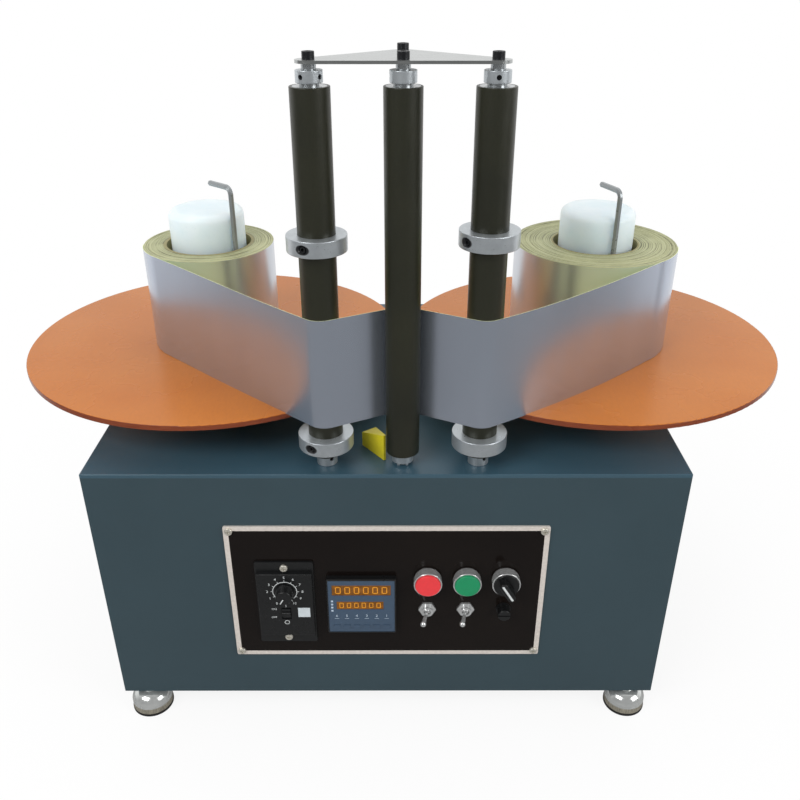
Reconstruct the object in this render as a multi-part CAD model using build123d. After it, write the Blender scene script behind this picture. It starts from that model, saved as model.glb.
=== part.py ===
from build123d import *
import os
from math import acos, atan2, cos, degrees, hypot, radians, sin

os.makedirs("parts", exist_ok=True)

# Motorised two-disc label rewinder, millimetres, +Z up.
# X = 0 is the middle of the roller tower and of the reels, z = 0 is the bench, and y = 0 is midway between
# the foremost control and the rearmost end of the cable gland. The operator stands on the -Y side.

# ---------------------------------------------------------------- cabinet
CAB_D = 440.0               # outside depth
CAB_H = 289.0               # from the underside to the deck's top face
SHEET = 2.0                 # front, sides and rear cover
DECK_T = 4.0                # deck plate that carries the reels and the tower
BASE_T = 3.0                # base plate inside the walls
EDGE_R = 1.0                # rounding of the sheet edges
FLANGE_W = 16.0             # inward flange that the rear cover screws to
REEL_OFFSET = 16.0          # reels and roller tower stand this far right of the cabinet's middle
MOTOR_CLEAR = 20.0          # gearbox to the nearer side wall
VENT_L, VENT_H, VENT_PITCH, VENT_ROWS = 70.0, 3.0, 12.0, 8
VENT_FROM_TOP = 70.0        # first vent row below the deck's top face
COVER_SCREW_R = 2.0         # M4
COVER_HEAD_R, COVER_HEAD_H = 3.8, 2.2
COVER_SCREW_L = 8.0
COVER_SCREW_ROWS = 3

# ---------------------------------------------------------------- feet
FOOT_H = 32.0               # cabinet underside above the bench, feet screwed right in
FOOT_INSET_X = 24.5         # foot axis in from the cabinet's side
FOOT_INSET_Y = 14.0         # foot axis in from the front and rear faces
FOOT_R = 22.5               # rubber pad
PAD_T = 3.0
BAND_R, BAND_H = 22.0, 10.5 # knurled band above the pad
DOME_H = 12.0
NECK_R = 9.5
STUD_R, STUD_L = 5.0, 22.0  # M10, length above the cabinet's underside
NUT_FLATS, NUT_H = 16.0, 9.0

# ---------------------------------------------------------------- clearances
RUN_GAP = 0.03              # radial, shaft in its own bearing
SEAT_GAP = 0.02             # radial, pieces that are clamped or pressed together
SLIDE_GAP = 0.05            # radial, screw in its hole and stem in its guide
HOLE_GAP = 0.3              # radial, bolt in a plain hole
AXIAL_GAP = 0.1             # between a turning shoulder and the bearing below it
SOFT_GAP = 0.3              # web to the rollers and rolls it runs on
CUTOUT_GAP = 0.5            # instrument body in its panel cut-out
OVERRUN = 1.0               # a cut past the face that it opens

# ---------------------------------------------------------------- reels
REEL_SPACING = 424.0        # between the two spindle axes
REEL_SETBACK = 220.0        # spindle axes behind the cabinet's front face
DISC_GAP = 5.0              # between the two discs
DISC_T = 6.0
DISC_LIFT = 42.0            # disc's underside above the deck
DISC_EDGE_R = 0.8
CHUCK_R, CHUCK_H = 40.0, 151.0
CHUCK_EDGE_R = 8.0
LEFT_ROLL_R, RIGHT_ROLL_R = 70.0, 87.5
LEFT_CORE_R, RIGHT_CORE_R = 49.0, 47.6
SPINDLE_R = 10.0
SPINDLE_REACH = 100.0       # spindle inside the chuck
SPINDLE_DROP = 28.0         # spindle below the deck's top face
HUB_R, HUB_T = 45.0, 10.0   # flange under the disc
SHOULDER_R = 13.0
REEL_SCREW_R, REEL_SCREW_ORBIT, REEL_SCREW_BITE = 3.0, 30.0, 14.0
REEL_HEAD_R, REEL_HEAD_H = 5.0, 6.0
REEL_SCREWS = 4
LOCK_PIN_FLATS = 5.0        # hexagon key across its flats, wedged between chuck and core
LOCK_PIN_GAP = 0.3          # key to chuck, to core and to disc
LOCK_PIN_RISE = 27.0        # arm's axis above the chuck's top
LOCK_PIN_ARM = 34.0
LOCK_PIN_BEND = 7.0
LEFT_PIN_ANGLE, RIGHT_PIN_ANGLE = -38.0, -75.5   # seen from above, 0 is +X
LEFT_PIN_TWIST, RIGHT_PIN_TWIST = -4.0, 7.5      # arm's turn from pointing at the axis

# ---------------------------------------------------------------- spindle bearings and drives
HOUSING_FLANGE, HOUSING_FLANGE_T = 110.0, 8.0
HOUSING_BOSS_R, HOUSING_H = 32.0, 30.0
HOUSING_LIP = 2.0
REEL_BEARING_R, REEL_BEARING_H = 21.0, 12.0
HOUSING_BOLT_R, HOUSING_BOLT_SPACING = 4.0, 84.0
BOLT_HEAD_R, BOLT_HEAD_H = 6.5, 8.0
DECK_BORE_R = 15.0
MOTOR_SIDE = 90.0
GEARBOX_H, MOTOR_H = 60.0, 105.0
MOTOR_R = 43.0
MOTOR_CORNER_R = 5.0
STANDOFF_R, STANDOFF_L, STANDOFF_SPACING = 6.0, 50.0, 74.0
MOTOR_SHAFT_R, MOTOR_SHAFT_BORE = 7.5, 22.0
COUPLING_R, COUPLING_L, COUPLING_GRIP = 16.0, 36.0, 16.0

# ---------------------------------------------------------------- roller tower
ROLLER_PITCH = 74.0
ROLLER_SETBACK = 24.0       # roller axes behind the cabinet's front face
REAR_POST_SETBACK = 88.0
POST_R = 6.0
POST_TOP = 366.0            # heights in this section are above the deck
POST_DROP = 18.0            # post below the deck's top face
POST_NUT_FLATS, POST_NUT_H = 19.0, 10.0
SIDE_TUBE_R, CENTRE_TUBE_R = 16.5, 16.0
TUBE_BOTTOM, TUBE_TOP = 13.0, 349.0
TUBE_EDGE_R = 0.5
ROLLER_BEARING_R, ROLLER_BEARING_H = 14.0, 8.0
BASE_COLLAR_R, BASE_COLLAR_H = 10.0, 15.0
TOP_COLLAR_R, TOP_COLLAR_H, TOP_COLLAR_Z = 11.0, 9.5, 351.5
SPACER_R = 8.0
GRUB_R, GRUB_RECESS = 2.0, 1.2
BASE_GRUB_ANGLE = -58.0
TOP_GRUB_ANGLES = (-123.0, 90.0, -90.0)
GRUB_SPREAD = 90.0          # between a collar's two set screws
GUIDE_COLLAR_R, GUIDE_COLLAR_H = 26.5, 14.3
GUIDE_COLLARS = {            # height of the collar's underside and heading of its screw
    "left_upper": (215.5, -113.0),
    "left_lower": (20.4, -119.0),
    "right_upper": (219.5, -143.0),
    "right_lower": (20.4, 60.0),
}
COLLAR_SCREW_R, COLLAR_CONE_R, COLLAR_CONE_DEPTH = 2.5, 5.2, 2.6
COLLAR_SOCKET_FLATS, COLLAR_SOCKET_DEPTH = 3.0, 2.5
COLLAR_EDGE_R = 0.6
PLATE_T = 2.5
PLATE_MARGIN = 10.8         # plate beyond the axes of the posts
TOP_BOLT_R, TOP_BOLT_L = 3.0, 16.0
TAP_DRILL = 1.0             # tapped hole deeper than its bolt
TOP_HEAD_R, TOP_HEAD_H = 5.0, 6.0
SOCKET_FLATS, SOCKET_DEPTH = 5.0, 3.0

# ---------------------------------------------------------------- pulse wheel and sensor
PULSE_HUB_R, PULSE_HUB_Z, PULSE_PLUG_H = 10.5, 3.0, 8.0
PULSE_SCREWS, PULSE_SCREW_R, PULSE_ORBIT = 6, 1.4, 8.3
PULSE_SCREW_Z, PULSE_SCREW_BITE = 0.5, 5.0
SENSOR_LENGTH, SENSOR_WIDE, SENSOR_NARROW = 37.0, 17.0, 2.5
SENSOR_NEAR_H, SENSOR_FAR_H = 26.0, 13.0
SENSOR_TURN = 127.0         # heading of the sensor's long side, seen from above
SENSOR_BEARING = 170.0      # direction of the sensor's nearest corner from the centre roller
SENSOR_GAP = 0.8            # centre roller to that corner
SENSOR_SCREW_R, SENSOR_SCREW_BITE = 1.5, 5.0
SENSOR_SCREW_HEAD_R, SENSOR_SCREW_HEAD_H = 2.8, 2.0
SENSOR_BASE_T = 2.0

# ---------------------------------------------------------------- web
WEB_T = 0.5
WEB_H = 112.5
WEB_LIFT = 0.4              # web's lower edge above the discs

# ---------------------------------------------------------------- control panel
PANEL_W, PANEL_H, PANEL_T = 326.0, 171.0, 2.0
PANEL_DROP = 145.8          # panel's middle below the deck
PANEL_CORNER_R = 2.0
PANEL_SCREW_INSET = 5.6
PAN_HEAD_R, PAN_HEAD_H, PAN_SCREW_R, PAN_SCREW_L = 4.0, 2.2, 2.0, 9.0
CROSS_W, CROSS_DEPTH = 1.0, 1.2
# positions below are across from the cabinet's middle and down from the deck
SPEED_X, SPEED_DROP = -105.0, 156.3
SPEED_W, SPEED_H, SPEED_T = 60.0, 107.0, 2.5
SPEED_FRONT_H, SPEED_FRONT_T, SPEED_FRONT_INSET = 82.0, 4.5, 1.5
SPEED_BODY_W, SPEED_BODY_H, SPEED_BODY_L = 50.0, 80.0, 62.0
SPEED_SCREW_SPACING = 92.8
KNOB_R, KNOB_H, KNOB_RISE = 9.5, 11.0, 19.0      # rise: knob axis above the unit's middle
KNOB_SHAFT_R, KNOB_SHAFT_L, KNOB_LIFT = 3.0, 10.0, 0.5
KNOB_LINE_W, KNOB_LINE_DEPTH = 1.2, 0.5
KNOB_REST = 150.0           # pointer at zero speed, to the left of straight up
ROCKER_W, ROCKER_H, ROCKER_D, ROCKER_FALL = 9.0, 14.0, 5.0, 10.5
ROCKER_PIN_R, ROCKER_PIN_OUT, ROCKER_GAP = 1.0, 1.5, 0.5
ROCKER_TILT = 8.0           # either way from level
COUNTER_X, COUNTER_DROP = -26.6, 158.0
COUNTER_SIDE, COUNTER_T = 72.0, 7.0
COUNTER_BODY, COUNTER_BODY_L = 67.0, 78.0
COUNTER_FACE, COUNTER_FACE_T, COUNTER_CORNER_R = 69.0, 1.5, 2.0
WINDOW_DEPTH = 0.6
KEYS, KEY_W, KEY_H, KEY_PITCH, KEY_OUT = 6, 7.0, 5.0, 10.4, 0.6
KEY_RISE = 7.0              # keys' middle above the face's lower edge
WINDOWS = (                 # width, height, across and up from the face's middle
    (61.0, 13.5, 0.0, 21.5),
    (49.0, 10.5, -1.5, 1.5),
)
SELECTOR_IN, SELECTOR_PITCH, BUTTON_PITCH = 41.3, 39.7, 40.2    # in from the panel's right end
SELECTOR_X = PANEL_W / 2 - SELECTOR_IN
START_X = SELECTOR_X - SELECTOR_PITCH
CONTROL_COLUMNS = (START_X - BUTTON_PITCH, START_X, SELECTOR_X)
BUTTON_DROP, LOWER_DROP = 126.0, 166.0
HEAD_R, HEAD_REACH = 14.5, 11.0
GASKET_R, GASKET_T = 13.6, 2.5
BARREL_R, BARREL_L = 11.0, 12.0
BLOCK_W, BLOCK_H, BLOCK_L = 29.0, 40.0, 34.0
CAP_R, CAP_PROUD, CAP_T = 12.9, 2.0, 6.0
CAP_GAP = 0.3
STEM_R, STEM_L = 4.0, 22.0
BUTTON_TRAVEL = 3.0
HANDLE_L, HANDLE_W, HANDLE_OUT = 24.0, 8.5, 13.0
HANDLE_ANGLE = 31.0         # handle's pointer left of straight up
TOGGLE_BUSH_R, TOGGLE_BUSH_OUT = 5.9, 6.5
TOGGLE_NUT_FLATS, TOGGLE_NUT_T = 16.0, 2.6
TOGGLE_BODY_W, TOGGLE_BODY_H, TOGGLE_BODY_L = 27.0, 14.0, 22.0
TOGGLE_BALL_R, TOGGLE_LEVER, TOGGLE_NECK_R, TOGGLE_TIP_R = 3.6, 21.0, 1.6, 3.0
TOGGLE_THROW = 12.5         # lever to either side of straight out
FUSE_R, FUSE_FLANGE_T, FUSE_CAP_R, FUSE_CAP_L = 7.6, 1.8, 6.6, 10.5
FUSE_BODY_R, FUSE_BODY_L, FUSE_SLOT = 5.9, 34.0, 1.4

# ---------------------------------------------------------------- cable inlet
GLAND_DROP = 215.0
GLAND_SIDE = 190.0          # left of the cabinet's middle, seen from the front
GLAND_FLATS, GLAND_HEX_T = 24.0, 6.0
GLAND_THREAD_R, GLAND_THREAD_L = 10.0, 12.0
GLAND_DOME_R, GLAND_DOME_L = 11.5, 18.0
GLAND_BORE_R, GLAND_LIP = 4.0, 2.0

# ---------------------------------------------------------------- places worked out from them
TOGGLE_REACH = TOGGLE_BUSH_OUT / 2 + TOGGLE_LEVER * cos(radians(TOGGLE_THROW)) + TOGGLE_TIP_R
FRONT_REACH = PANEL_T + max(TOGGLE_REACH, HEAD_REACH + HANDLE_OUT, SPEED_T + SPEED_FRONT_T
                            + KNOB_LIFT + KNOB_H)
REAR_REACH = GLAND_HEX_T + GLAND_DOME_L
FACE_Y = (FRONT_REACH - CAB_D - REAR_REACH) / 2
REAR_Y = FACE_Y + CAB_D
PANEL_Y = FACE_Y - PANEL_T
CAB_X = -REEL_OFFSET
CAB_W = REEL_SPACING + MOTOR_SIDE + 2 * (REEL_OFFSET + MOTOR_CLEAR + SHEET)
DISC_R = (REEL_SPACING - DISC_GAP) / 2
CAB_Y = FACE_Y + CAB_D / 2
DECK_Z = FOOT_H + CAB_H
WALL_H = CAB_H - DECK_T
DISC_Z = DECK_Z + DISC_LIFT
DISC_TOP = DISC_Z + DISC_T
REEL_Y = FACE_Y + REEL_SETBACK
ROLLER_Y = FACE_Y + ROLLER_SETBACK
REEL_XS = {"left": -REEL_SPACING / 2, "right": REEL_SPACING / 2}
ROLL_RS = {"left": LEFT_ROLL_R, "right": RIGHT_ROLL_R}
CORE_RS = {"left": LEFT_CORE_R, "right": RIGHT_CORE_R}
PIN_TURNS = {"left": (LEFT_PIN_ANGLE, LEFT_PIN_TWIST), "right": (RIGHT_PIN_ANGLE, RIGHT_PIN_TWIST)}
ROLLER_XS = (-ROLLER_PITCH, 0.0, ROLLER_PITCH)
ROLLER_RS = (SIDE_TUBE_R, CENTRE_TUBE_R, SIDE_TUBE_R)
REAR_POST = (0.0, FACE_Y + REAR_POST_SETBACK)
POSTS = [(x, ROLLER_Y) for x in ROLLER_XS] + [REAR_POST]
PIN_ORBIT = CHUCK_R + LOCK_PIN_GAP + LOCK_PIN_FLATS / 2
CORE_BORE_R = PIN_ORBIT + LOCK_PIN_FLATS / 2 + LOCK_PIN_GAP
BORE_R = ROLLER_BEARING_R + RUN_GAP
LOWER_BEARING_Z = DECK_Z + max(BASE_COLLAR_H, TUBE_BOTTOM + PULSE_PLUG_H)
UPPER_BEARING_Z = DECK_Z + TUBE_TOP - ROLLER_BEARING_H
MOTOR_TOP = DECK_Z - DECK_T - STANDOFF_L
PANEL_Z = DECK_Z - PANEL_DROP
SPEED_Z = DECK_Z - SPEED_DROP
SPEED_Y = PANEL_Y - SPEED_T - SPEED_FRONT_T
KNOB_Z = SPEED_Z + KNOB_RISE
ROCKER_Z = SPEED_Z - ROCKER_FALL
ROCKER_Y = SPEED_Y + ROCKER_D / 2
COUNTER_Z = DECK_Z - COUNTER_DROP
BUTTON_Z = DECK_Z - BUTTON_DROP
LOWER_Z = DECK_Z - LOWER_DROP
HEAD_Y = PANEL_Y - HEAD_REACH
TOGGLE_Y = PANEL_Y - TOGGLE_BUSH_OUT / 2
FOOT_PLACES = {
    f"{end}_{side}": (CAB_X + sx * (CAB_W / 2 - FOOT_INSET_X), CAB_Y + sy * (CAB_D / 2 - FOOT_INSET_Y))
    for end, sy in (("front", -1), ("rear", 1))
    for side, sx in (("left", -1), ("right", 1))
}
BASE = (Align.CENTER, Align.CENTER, Align.MIN)


# ---------------------------------------------------------------- small helpers
def rod(radius, length, x=0.0, y=0.0, z=0.0):
    """Upright cylinder whose lower end is at z."""
    return Pos(x, y, z) * Cylinder(radius, length, align=BASE)


def tube(outer, inner, length, x=0.0, y=0.0, z=0.0):
    return rod(outer, length, x, y, z) - rod(inner, length, x, y, z)


def block(width, depth, height, x=0.0, y=0.0, z=0.0):
    """Box centred on x and y whose underside is at z."""
    return Pos(x, y, z) * Box(width, depth, height, align=BASE)


def level_rod(radius, y_from, y_to, x, z):
    """Cylinder lying along Y."""
    return Pos(x, y_to, z) * Rot(90, 0, 0) * Cylinder(radius, y_to - y_from, align=BASE)


def level_block(width, height, y_from, y_to, x, z):
    """Box centred on x and z that spans y_from to y_to."""
    return Pos(x, (y_from + y_to) / 2, z) * Box(width, y_to - y_from, height)


def level_hex(flats, y_from, y_to, x, z):
    prism = extrude(RegularPolygon(flats / 2, 6, major_radius=False), y_to - y_from)
    return Pos(x, y_to, z) * Rot(90, 0, 0) * prism


def hex_prism(flats, height, x, y, z):
    return Pos(x, y, z) * extrude(RegularPolygon(flats / 2, 6, major_radius=False), height)


def spoke(radius, r_from, r_to, x, y, z, angle):
    """Cylinder lying along a radius of the upright axis at x, y."""
    return (Pos(x, y, z) * Rot(0, 0, angle) * Pos(r_from, 0, 0) * Rot(0, 90, 0)
            * Cylinder(radius, r_to - r_from, align=BASE))


def ring_places(count, orbit, x, y, first=45.0):
    angles = [radians(first + 360.0 * i / count) for i in range(count)]
    return [(x + orbit * cos(a), y + orbit * sin(a)) for a in angles]


def square_places(spacing, x, y):
    return [(x + sx * spacing / 2, y + sy * spacing / 2) for sx in (-1, 1) for sy in (-1, 1)]


def group(pieces):
    """One node of several separate solids."""
    return Compound(children=[solid for piece in pieces for solid in piece.solids()])


def ease(shape, edges, radius):
    return fillet(shape.edges().filter_by(edges), radius)


def top_rim(shape):
    return shape.faces().sort_by(Axis.Z)[-1].edges()


def front_rim(shape):
    return shape.faces().sort_by(Axis.Y)[0].edges()


def pan_screw(x, z, y):
    """Cross-recess pan head screw driven in from the front, its head seated at y."""
    head = fillet(front_rim(level_rod(PAN_HEAD_R, y - PAN_HEAD_H, y, x, z)), PAN_HEAD_H * 0.4)
    screw = head + level_rod(PAN_SCREW_R - SLIDE_GAP, y, y + PAN_SCREW_L, x, z)
    for width, height in ((PAN_HEAD_R * 1.2, CROSS_W), (CROSS_W, PAN_HEAD_R * 1.2)):
        screw -= level_block(width, height, y - PAN_HEAD_H, y - PAN_HEAD_H + CROSS_DEPTH, x, z)
    return screw


# ---------------------------------------------------------------- cabinet
def cover_screw_places():
    span = WALL_H - BASE_T - 4 * COVER_HEAD_R
    low = FOOT_H + BASE_T + 2 * COVER_HEAD_R
    x_out = CAB_W / 2 - SHEET - FLANGE_W / 2
    return [(CAB_X + side * x_out, low + span * row / (COVER_SCREW_ROWS - 1))
            for side in (-1, 1) for row in range(COVER_SCREW_ROWS)]


def panel_screw_places():
    half_w, half_h = PANEL_W / 2 - PANEL_SCREW_INSET, PANEL_H / 2 - PANEL_SCREW_INSET
    return [(CAB_X + sx * half_w, PANEL_Z + sz * half_h) for sx in (-1, 1) for sz in (-1, 1)]


def speed_screw_places():
    return [(CAB_X + SPEED_X, SPEED_Z + s * SPEED_SCREW_SPACING / 2) for s in (-1, 1)]


def sensor_frame():
    """Local frame of the pulse sensor: x runs along it from its near corner, z is up from the deck."""
    corner = Pos(0, ROLLER_Y, DECK_Z) * Rot(0, 0, SENSOR_BEARING) * Pos(CENTRE_TUBE_R + SENSOR_GAP, 0, 0)
    return corner * Rot(0, 0, SENSOR_TURN - SENSOR_BEARING)


def sensor_screw_place():
    return SENSOR_LENGTH * 0.7, SENSOR_NARROW - SENSOR_WIDE * 0.35


def cabinet_deck():
    plate = block(CAB_W, CAB_D, DECK_T, CAB_X, CAB_Y, DECK_Z - DECK_T)
    plate = ease(plate, Axis.Z, EDGE_R)
    plate = fillet(top_rim(plate), EDGE_R)
    low = DECK_Z - DECK_T
    for x, y in POSTS:
        plate -= rod(POST_R + SLIDE_GAP, DECK_T, x, y, low)
    for x in REEL_XS.values():
        plate -= rod(DECK_BORE_R, DECK_T, x, REEL_Y, low)
        for bx, by in square_places(HOUSING_BOLT_SPACING, x, REEL_Y):
            plate -= rod(HOUSING_BOLT_R + SLIDE_GAP, DECK_T, bx, by, low)
    sx, sy = sensor_screw_place()
    return plate - sensor_frame() * rod(SENSOR_SCREW_R + SLIDE_GAP, DECK_T, sx, sy, -DECK_T)


def cut_panel_openings(sheet, y_from, y_to):
    """Cuts the openings for the controls out of the front wall or the control panel."""
    x_speed, x_counter = CAB_X + SPEED_X, CAB_X + COUNTER_X
    cuts = [level_block(SPEED_BODY_W + 2 * CUTOUT_GAP, SPEED_BODY_H + 2 * CUTOUT_GAP,
                        y_from, y_to, x_speed, SPEED_Z)]
    side = COUNTER_BODY + 2 * CUTOUT_GAP
    cuts.append(level_block(side, side, y_from, y_to, x_counter, COUNTER_Z))
    for column in CONTROL_COLUMNS:
        cuts.append(level_rod(BARREL_R + SLIDE_GAP, y_from, y_to, CAB_X + column, BUTTON_Z))
    for column in CONTROL_COLUMNS[:2]:
        cuts.append(level_rod(TOGGLE_BUSH_R + SLIDE_GAP, y_from, y_to, CAB_X + column, LOWER_Z))
    cuts.append(level_rod(FUSE_BODY_R + SLIDE_GAP, y_from, y_to, CAB_X + CONTROL_COLUMNS[2], LOWER_Z))
    for x, z in panel_screw_places() + speed_screw_places():
        cuts.append(level_rod(PAN_SCREW_R, y_from, y_to, x, z))
    for cut in cuts:
        sheet -= cut
    return sheet


def cabinet_front():
    wall = block(CAB_W, SHEET, WALL_H, CAB_X, FACE_Y + SHEET / 2, FOOT_H)
    corners = wall.edges().filter_by(Axis.Z).group_by(Axis.Y)[0]
    wall = fillet(corners, EDGE_R)
    return cut_panel_openings(wall, FACE_Y, FACE_Y + SHEET)


def cabinet_sides():
    walls = []
    for side in (-1, 1):
        wall = block(SHEET, CAB_D - 2 * SHEET, WALL_H, CAB_X + side * (CAB_W - SHEET) / 2, CAB_Y, FOOT_H)
        x = CAB_X + side * (CAB_W / 2 - SHEET - FLANGE_W / 2)
        wall += block(FLANGE_W, SHEET, WALL_H - BASE_T, x, REAR_Y - 1.5 * SHEET, FOOT_H + BASE_T)
        for sx, sz in cover_screw_places():
            wall -= level_rod(COVER_SCREW_R, REAR_Y - 2 * SHEET, REAR_Y - SHEET, sx, sz)
        walls.append(wall)
    return group(walls)


def rear_cover():
    cover = block(CAB_W, SHEET, WALL_H, CAB_X, REAR_Y - SHEET / 2, FOOT_H)
    corners = cover.edges().filter_by(Axis.Z).group_by(Axis.Y)[-1]
    cover = fillet(corners, EDGE_R)
    for x, z in cover_screw_places():
        cover -= level_rod(COVER_SCREW_R + HOLE_GAP, REAR_Y - SHEET, REAR_Y, x, z)
    for side in (-1, 1):
        for row in range(VENT_ROWS):
            x = side * REEL_SPACING / 2
            z = DECK_Z - VENT_FROM_TOP - row * VENT_PITCH
            cover -= level_block(VENT_L, VENT_H, REAR_Y - SHEET, REAR_Y, x, z)
    gland_x, gland_z = gland_place()
    return cover - level_rod(GLAND_THREAD_R + SLIDE_GAP, REAR_Y - SHEET, REAR_Y, gland_x, gland_z)


def cover_screws():
    screws = []
    for x, z in cover_screw_places():
        head = level_rod(COVER_HEAD_R, REAR_Y, REAR_Y + COVER_HEAD_H, x, z)
        head = fillet(head.faces().sort_by(Axis.Y)[-1].edges(), COVER_HEAD_H * 0.6)
        head -= level_hex(COVER_SCREW_R, REAR_Y + COVER_HEAD_H / 3, REAR_Y + COVER_HEAD_H, x, z)
        shank_r = COVER_SCREW_R - SLIDE_GAP
        screws.append(head + level_rod(shank_r, REAR_Y - COVER_SCREW_L, REAR_Y, x, z))
    return group(screws)


def base_plate():
    plate = block(CAB_W - 2 * SHEET, CAB_D - 2 * SHEET, BASE_T, CAB_X, CAB_Y, FOOT_H)
    nuts = []
    for x, y in FOOT_PLACES.values():
        plate -= rod(STUD_R + SLIDE_GAP, BASE_T, x, y, FOOT_H)
        nut = hex_prism(NUT_FLATS, NUT_H, x, y, FOOT_H + BASE_T)
        nuts.append(nut - rod(STUD_R + SLIDE_GAP, NUT_H, x, y, FOOT_H + BASE_T))
    return group([plate] + nuts)


def gland_place():
    return CAB_X + GLAND_SIDE, DECK_Z - GLAND_DROP


def cable_gland():
    x, z = gland_place()
    dome_y = REAR_Y + GLAND_HEX_T
    dome = level_rod(GLAND_DOME_R, dome_y, dome_y + GLAND_DOME_L, x, z)
    dome = fillet(dome.faces().sort_by(Axis.Y)[-1].edges(), GLAND_DOME_R - GLAND_BORE_R - GLAND_LIP)
    body = level_hex(GLAND_FLATS, REAR_Y, dome_y, x, z) + dome
    body += level_rod(GLAND_THREAD_R, REAR_Y - GLAND_THREAD_L, REAR_Y, x, z)
    bore = level_rod(GLAND_BORE_R, REAR_Y - GLAND_THREAD_L, dome_y + GLAND_DOME_L, x, z)
    nut_y = REAR_Y - SHEET - GLAND_HEX_T
    nut = level_hex(GLAND_FLATS, nut_y, REAR_Y - SHEET, x, z)
    nut -= level_rod(GLAND_THREAD_R + SEAT_GAP, nut_y, REAR_Y - SHEET, x, z)
    return group([body - bore, nut])


def foot(x, y):
    """Levelling foot: rubber pad, domed steel base and a stud that screws up into the cabinet."""
    pad = rod(FOOT_R, PAD_T, x, y, 0)
    pad = fillet(pad.edges().sort_by(Axis.Z)[0], PAD_T / 3)
    band_top = PAD_T + BAND_H
    dome_top = band_top + DOME_H
    waist = (NECK_R + (BAND_R - NECK_R) * 0.62, band_top + DOME_H * 0.72)
    outline = [
        Line((0, PAD_T), (BAND_R, PAD_T)),
        Line((BAND_R, PAD_T), (BAND_R, band_top)),
        ThreePointArc((BAND_R, band_top), waist, (NECK_R, dome_top)),
        Line((NECK_R, dome_top), (NECK_R, FOOT_H)),
        Line((NECK_R, FOOT_H), (STUD_R, FOOT_H)),
        Line((STUD_R, FOOT_H), (STUD_R, FOOT_H + STUD_L)),
        Line((STUD_R, FOOT_H + STUD_L), (0, FOOT_H + STUD_L)),
        Line((0, FOOT_H + STUD_L), (0, PAD_T)),
    ]
    body = Pos(x, y, 0) * revolve(Plane.XZ * make_face(outline), Axis.Z)
    return group([pad, body])


# ---------------------------------------------------------------- spindle bearings and drives
def bearing_housings():
    housings = []
    for x in REEL_XS.values():
        flange = block(HOUSING_FLANGE, HOUSING_FLANGE, HOUSING_FLANGE_T, x, REEL_Y, DECK_Z)
        flange = ease(flange, Axis.Z, BOLT_HEAD_R)
        body = flange + rod(HOUSING_BOSS_R, HOUSING_H, x, REEL_Y, DECK_Z)
        body -= rod(DECK_BORE_R, HOUSING_LIP, x, REEL_Y, DECK_Z)
        bore = REEL_BEARING_R + SEAT_GAP
        body -= rod(bore, HOUSING_H - HOUSING_LIP, x, REEL_Y, DECK_Z + HOUSING_LIP)
        for bx, by in square_places(HOUSING_BOLT_SPACING, x, REEL_Y):
            body -= rod(HOUSING_BOLT_R + SLIDE_GAP, HOUSING_FLANGE_T, bx, by, DECK_Z)
        housings.append(body)
    return group(housings)


def housing_bolts():
    bolts = []
    for x in REEL_XS.values():
        for bx, by in square_places(HOUSING_BOLT_SPACING, x, REEL_Y):
            top = DECK_Z + HOUSING_FLANGE_T
            drop = HOUSING_FLANGE_T + DECK_T
            bolt = rod(BOLT_HEAD_R, BOLT_HEAD_H, bx, by, top)
            bolt -= hex_prism(SOCKET_FLATS, SOCKET_DEPTH, bx, by, top + BOLT_HEAD_H - SOCKET_DEPTH)
            bolt += rod(HOUSING_BOLT_R, drop, bx, by, top - drop)
            bolts.append(bolt)
    return group(bolts)


def bearings():
    """Ball bearings of the two spindles and the three rollers, with the spacers above the rollers."""
    rings = []
    for x in REEL_XS.values():
        for z in (DECK_Z + HOUSING_LIP, DECK_Z + HOUSING_H - REEL_BEARING_H):
            rings.append(tube(REEL_BEARING_R, SPINDLE_R + RUN_GAP, REEL_BEARING_H, x, REEL_Y, z))
    for x in ROLLER_XS:
        lower = LOWER_BEARING_Z if x == 0 else DECK_Z + BASE_COLLAR_H
        for z in (lower, UPPER_BEARING_Z):
            ring = tube(ROLLER_BEARING_R, POST_R + SEAT_GAP, ROLLER_BEARING_H, x, ROLLER_Y, z)
            rings.append(ring)
        spacer_z = DECK_Z + TUBE_TOP
        spacer_h = TOP_COLLAR_Z - TUBE_TOP
        rings.append(tube(SPACER_R, POST_R + SEAT_GAP, spacer_h, x, ROLLER_Y, spacer_z))
    return group(rings)


def gearmotors():
    motors = []
    for x in REEL_XS.values():
        gearbox = block(MOTOR_SIDE, MOTOR_SIDE, GEARBOX_H, x, REEL_Y, MOTOR_TOP - GEARBOX_H)
        gearbox = ease(gearbox, Axis.Z, MOTOR_CORNER_R)
        body = gearbox + rod(MOTOR_R, MOTOR_H, x, REEL_Y, MOTOR_TOP - GEARBOX_H - MOTOR_H)
        bore = MOTOR_SHAFT_R + SLIDE_GAP
        motors.append(body - rod(bore, MOTOR_SHAFT_BORE, x, REEL_Y, MOTOR_TOP - MOTOR_SHAFT_BORE))
    return group(motors)


def motor_standoffs():
    pillars = []
    for x in REEL_XS.values():
        for sx, sy in square_places(STANDOFF_SPACING, x, REEL_Y):
            pillars.append(rod(STANDOFF_R, STANDOFF_L, sx, sy, MOTOR_TOP))
    return group(pillars)


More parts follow.
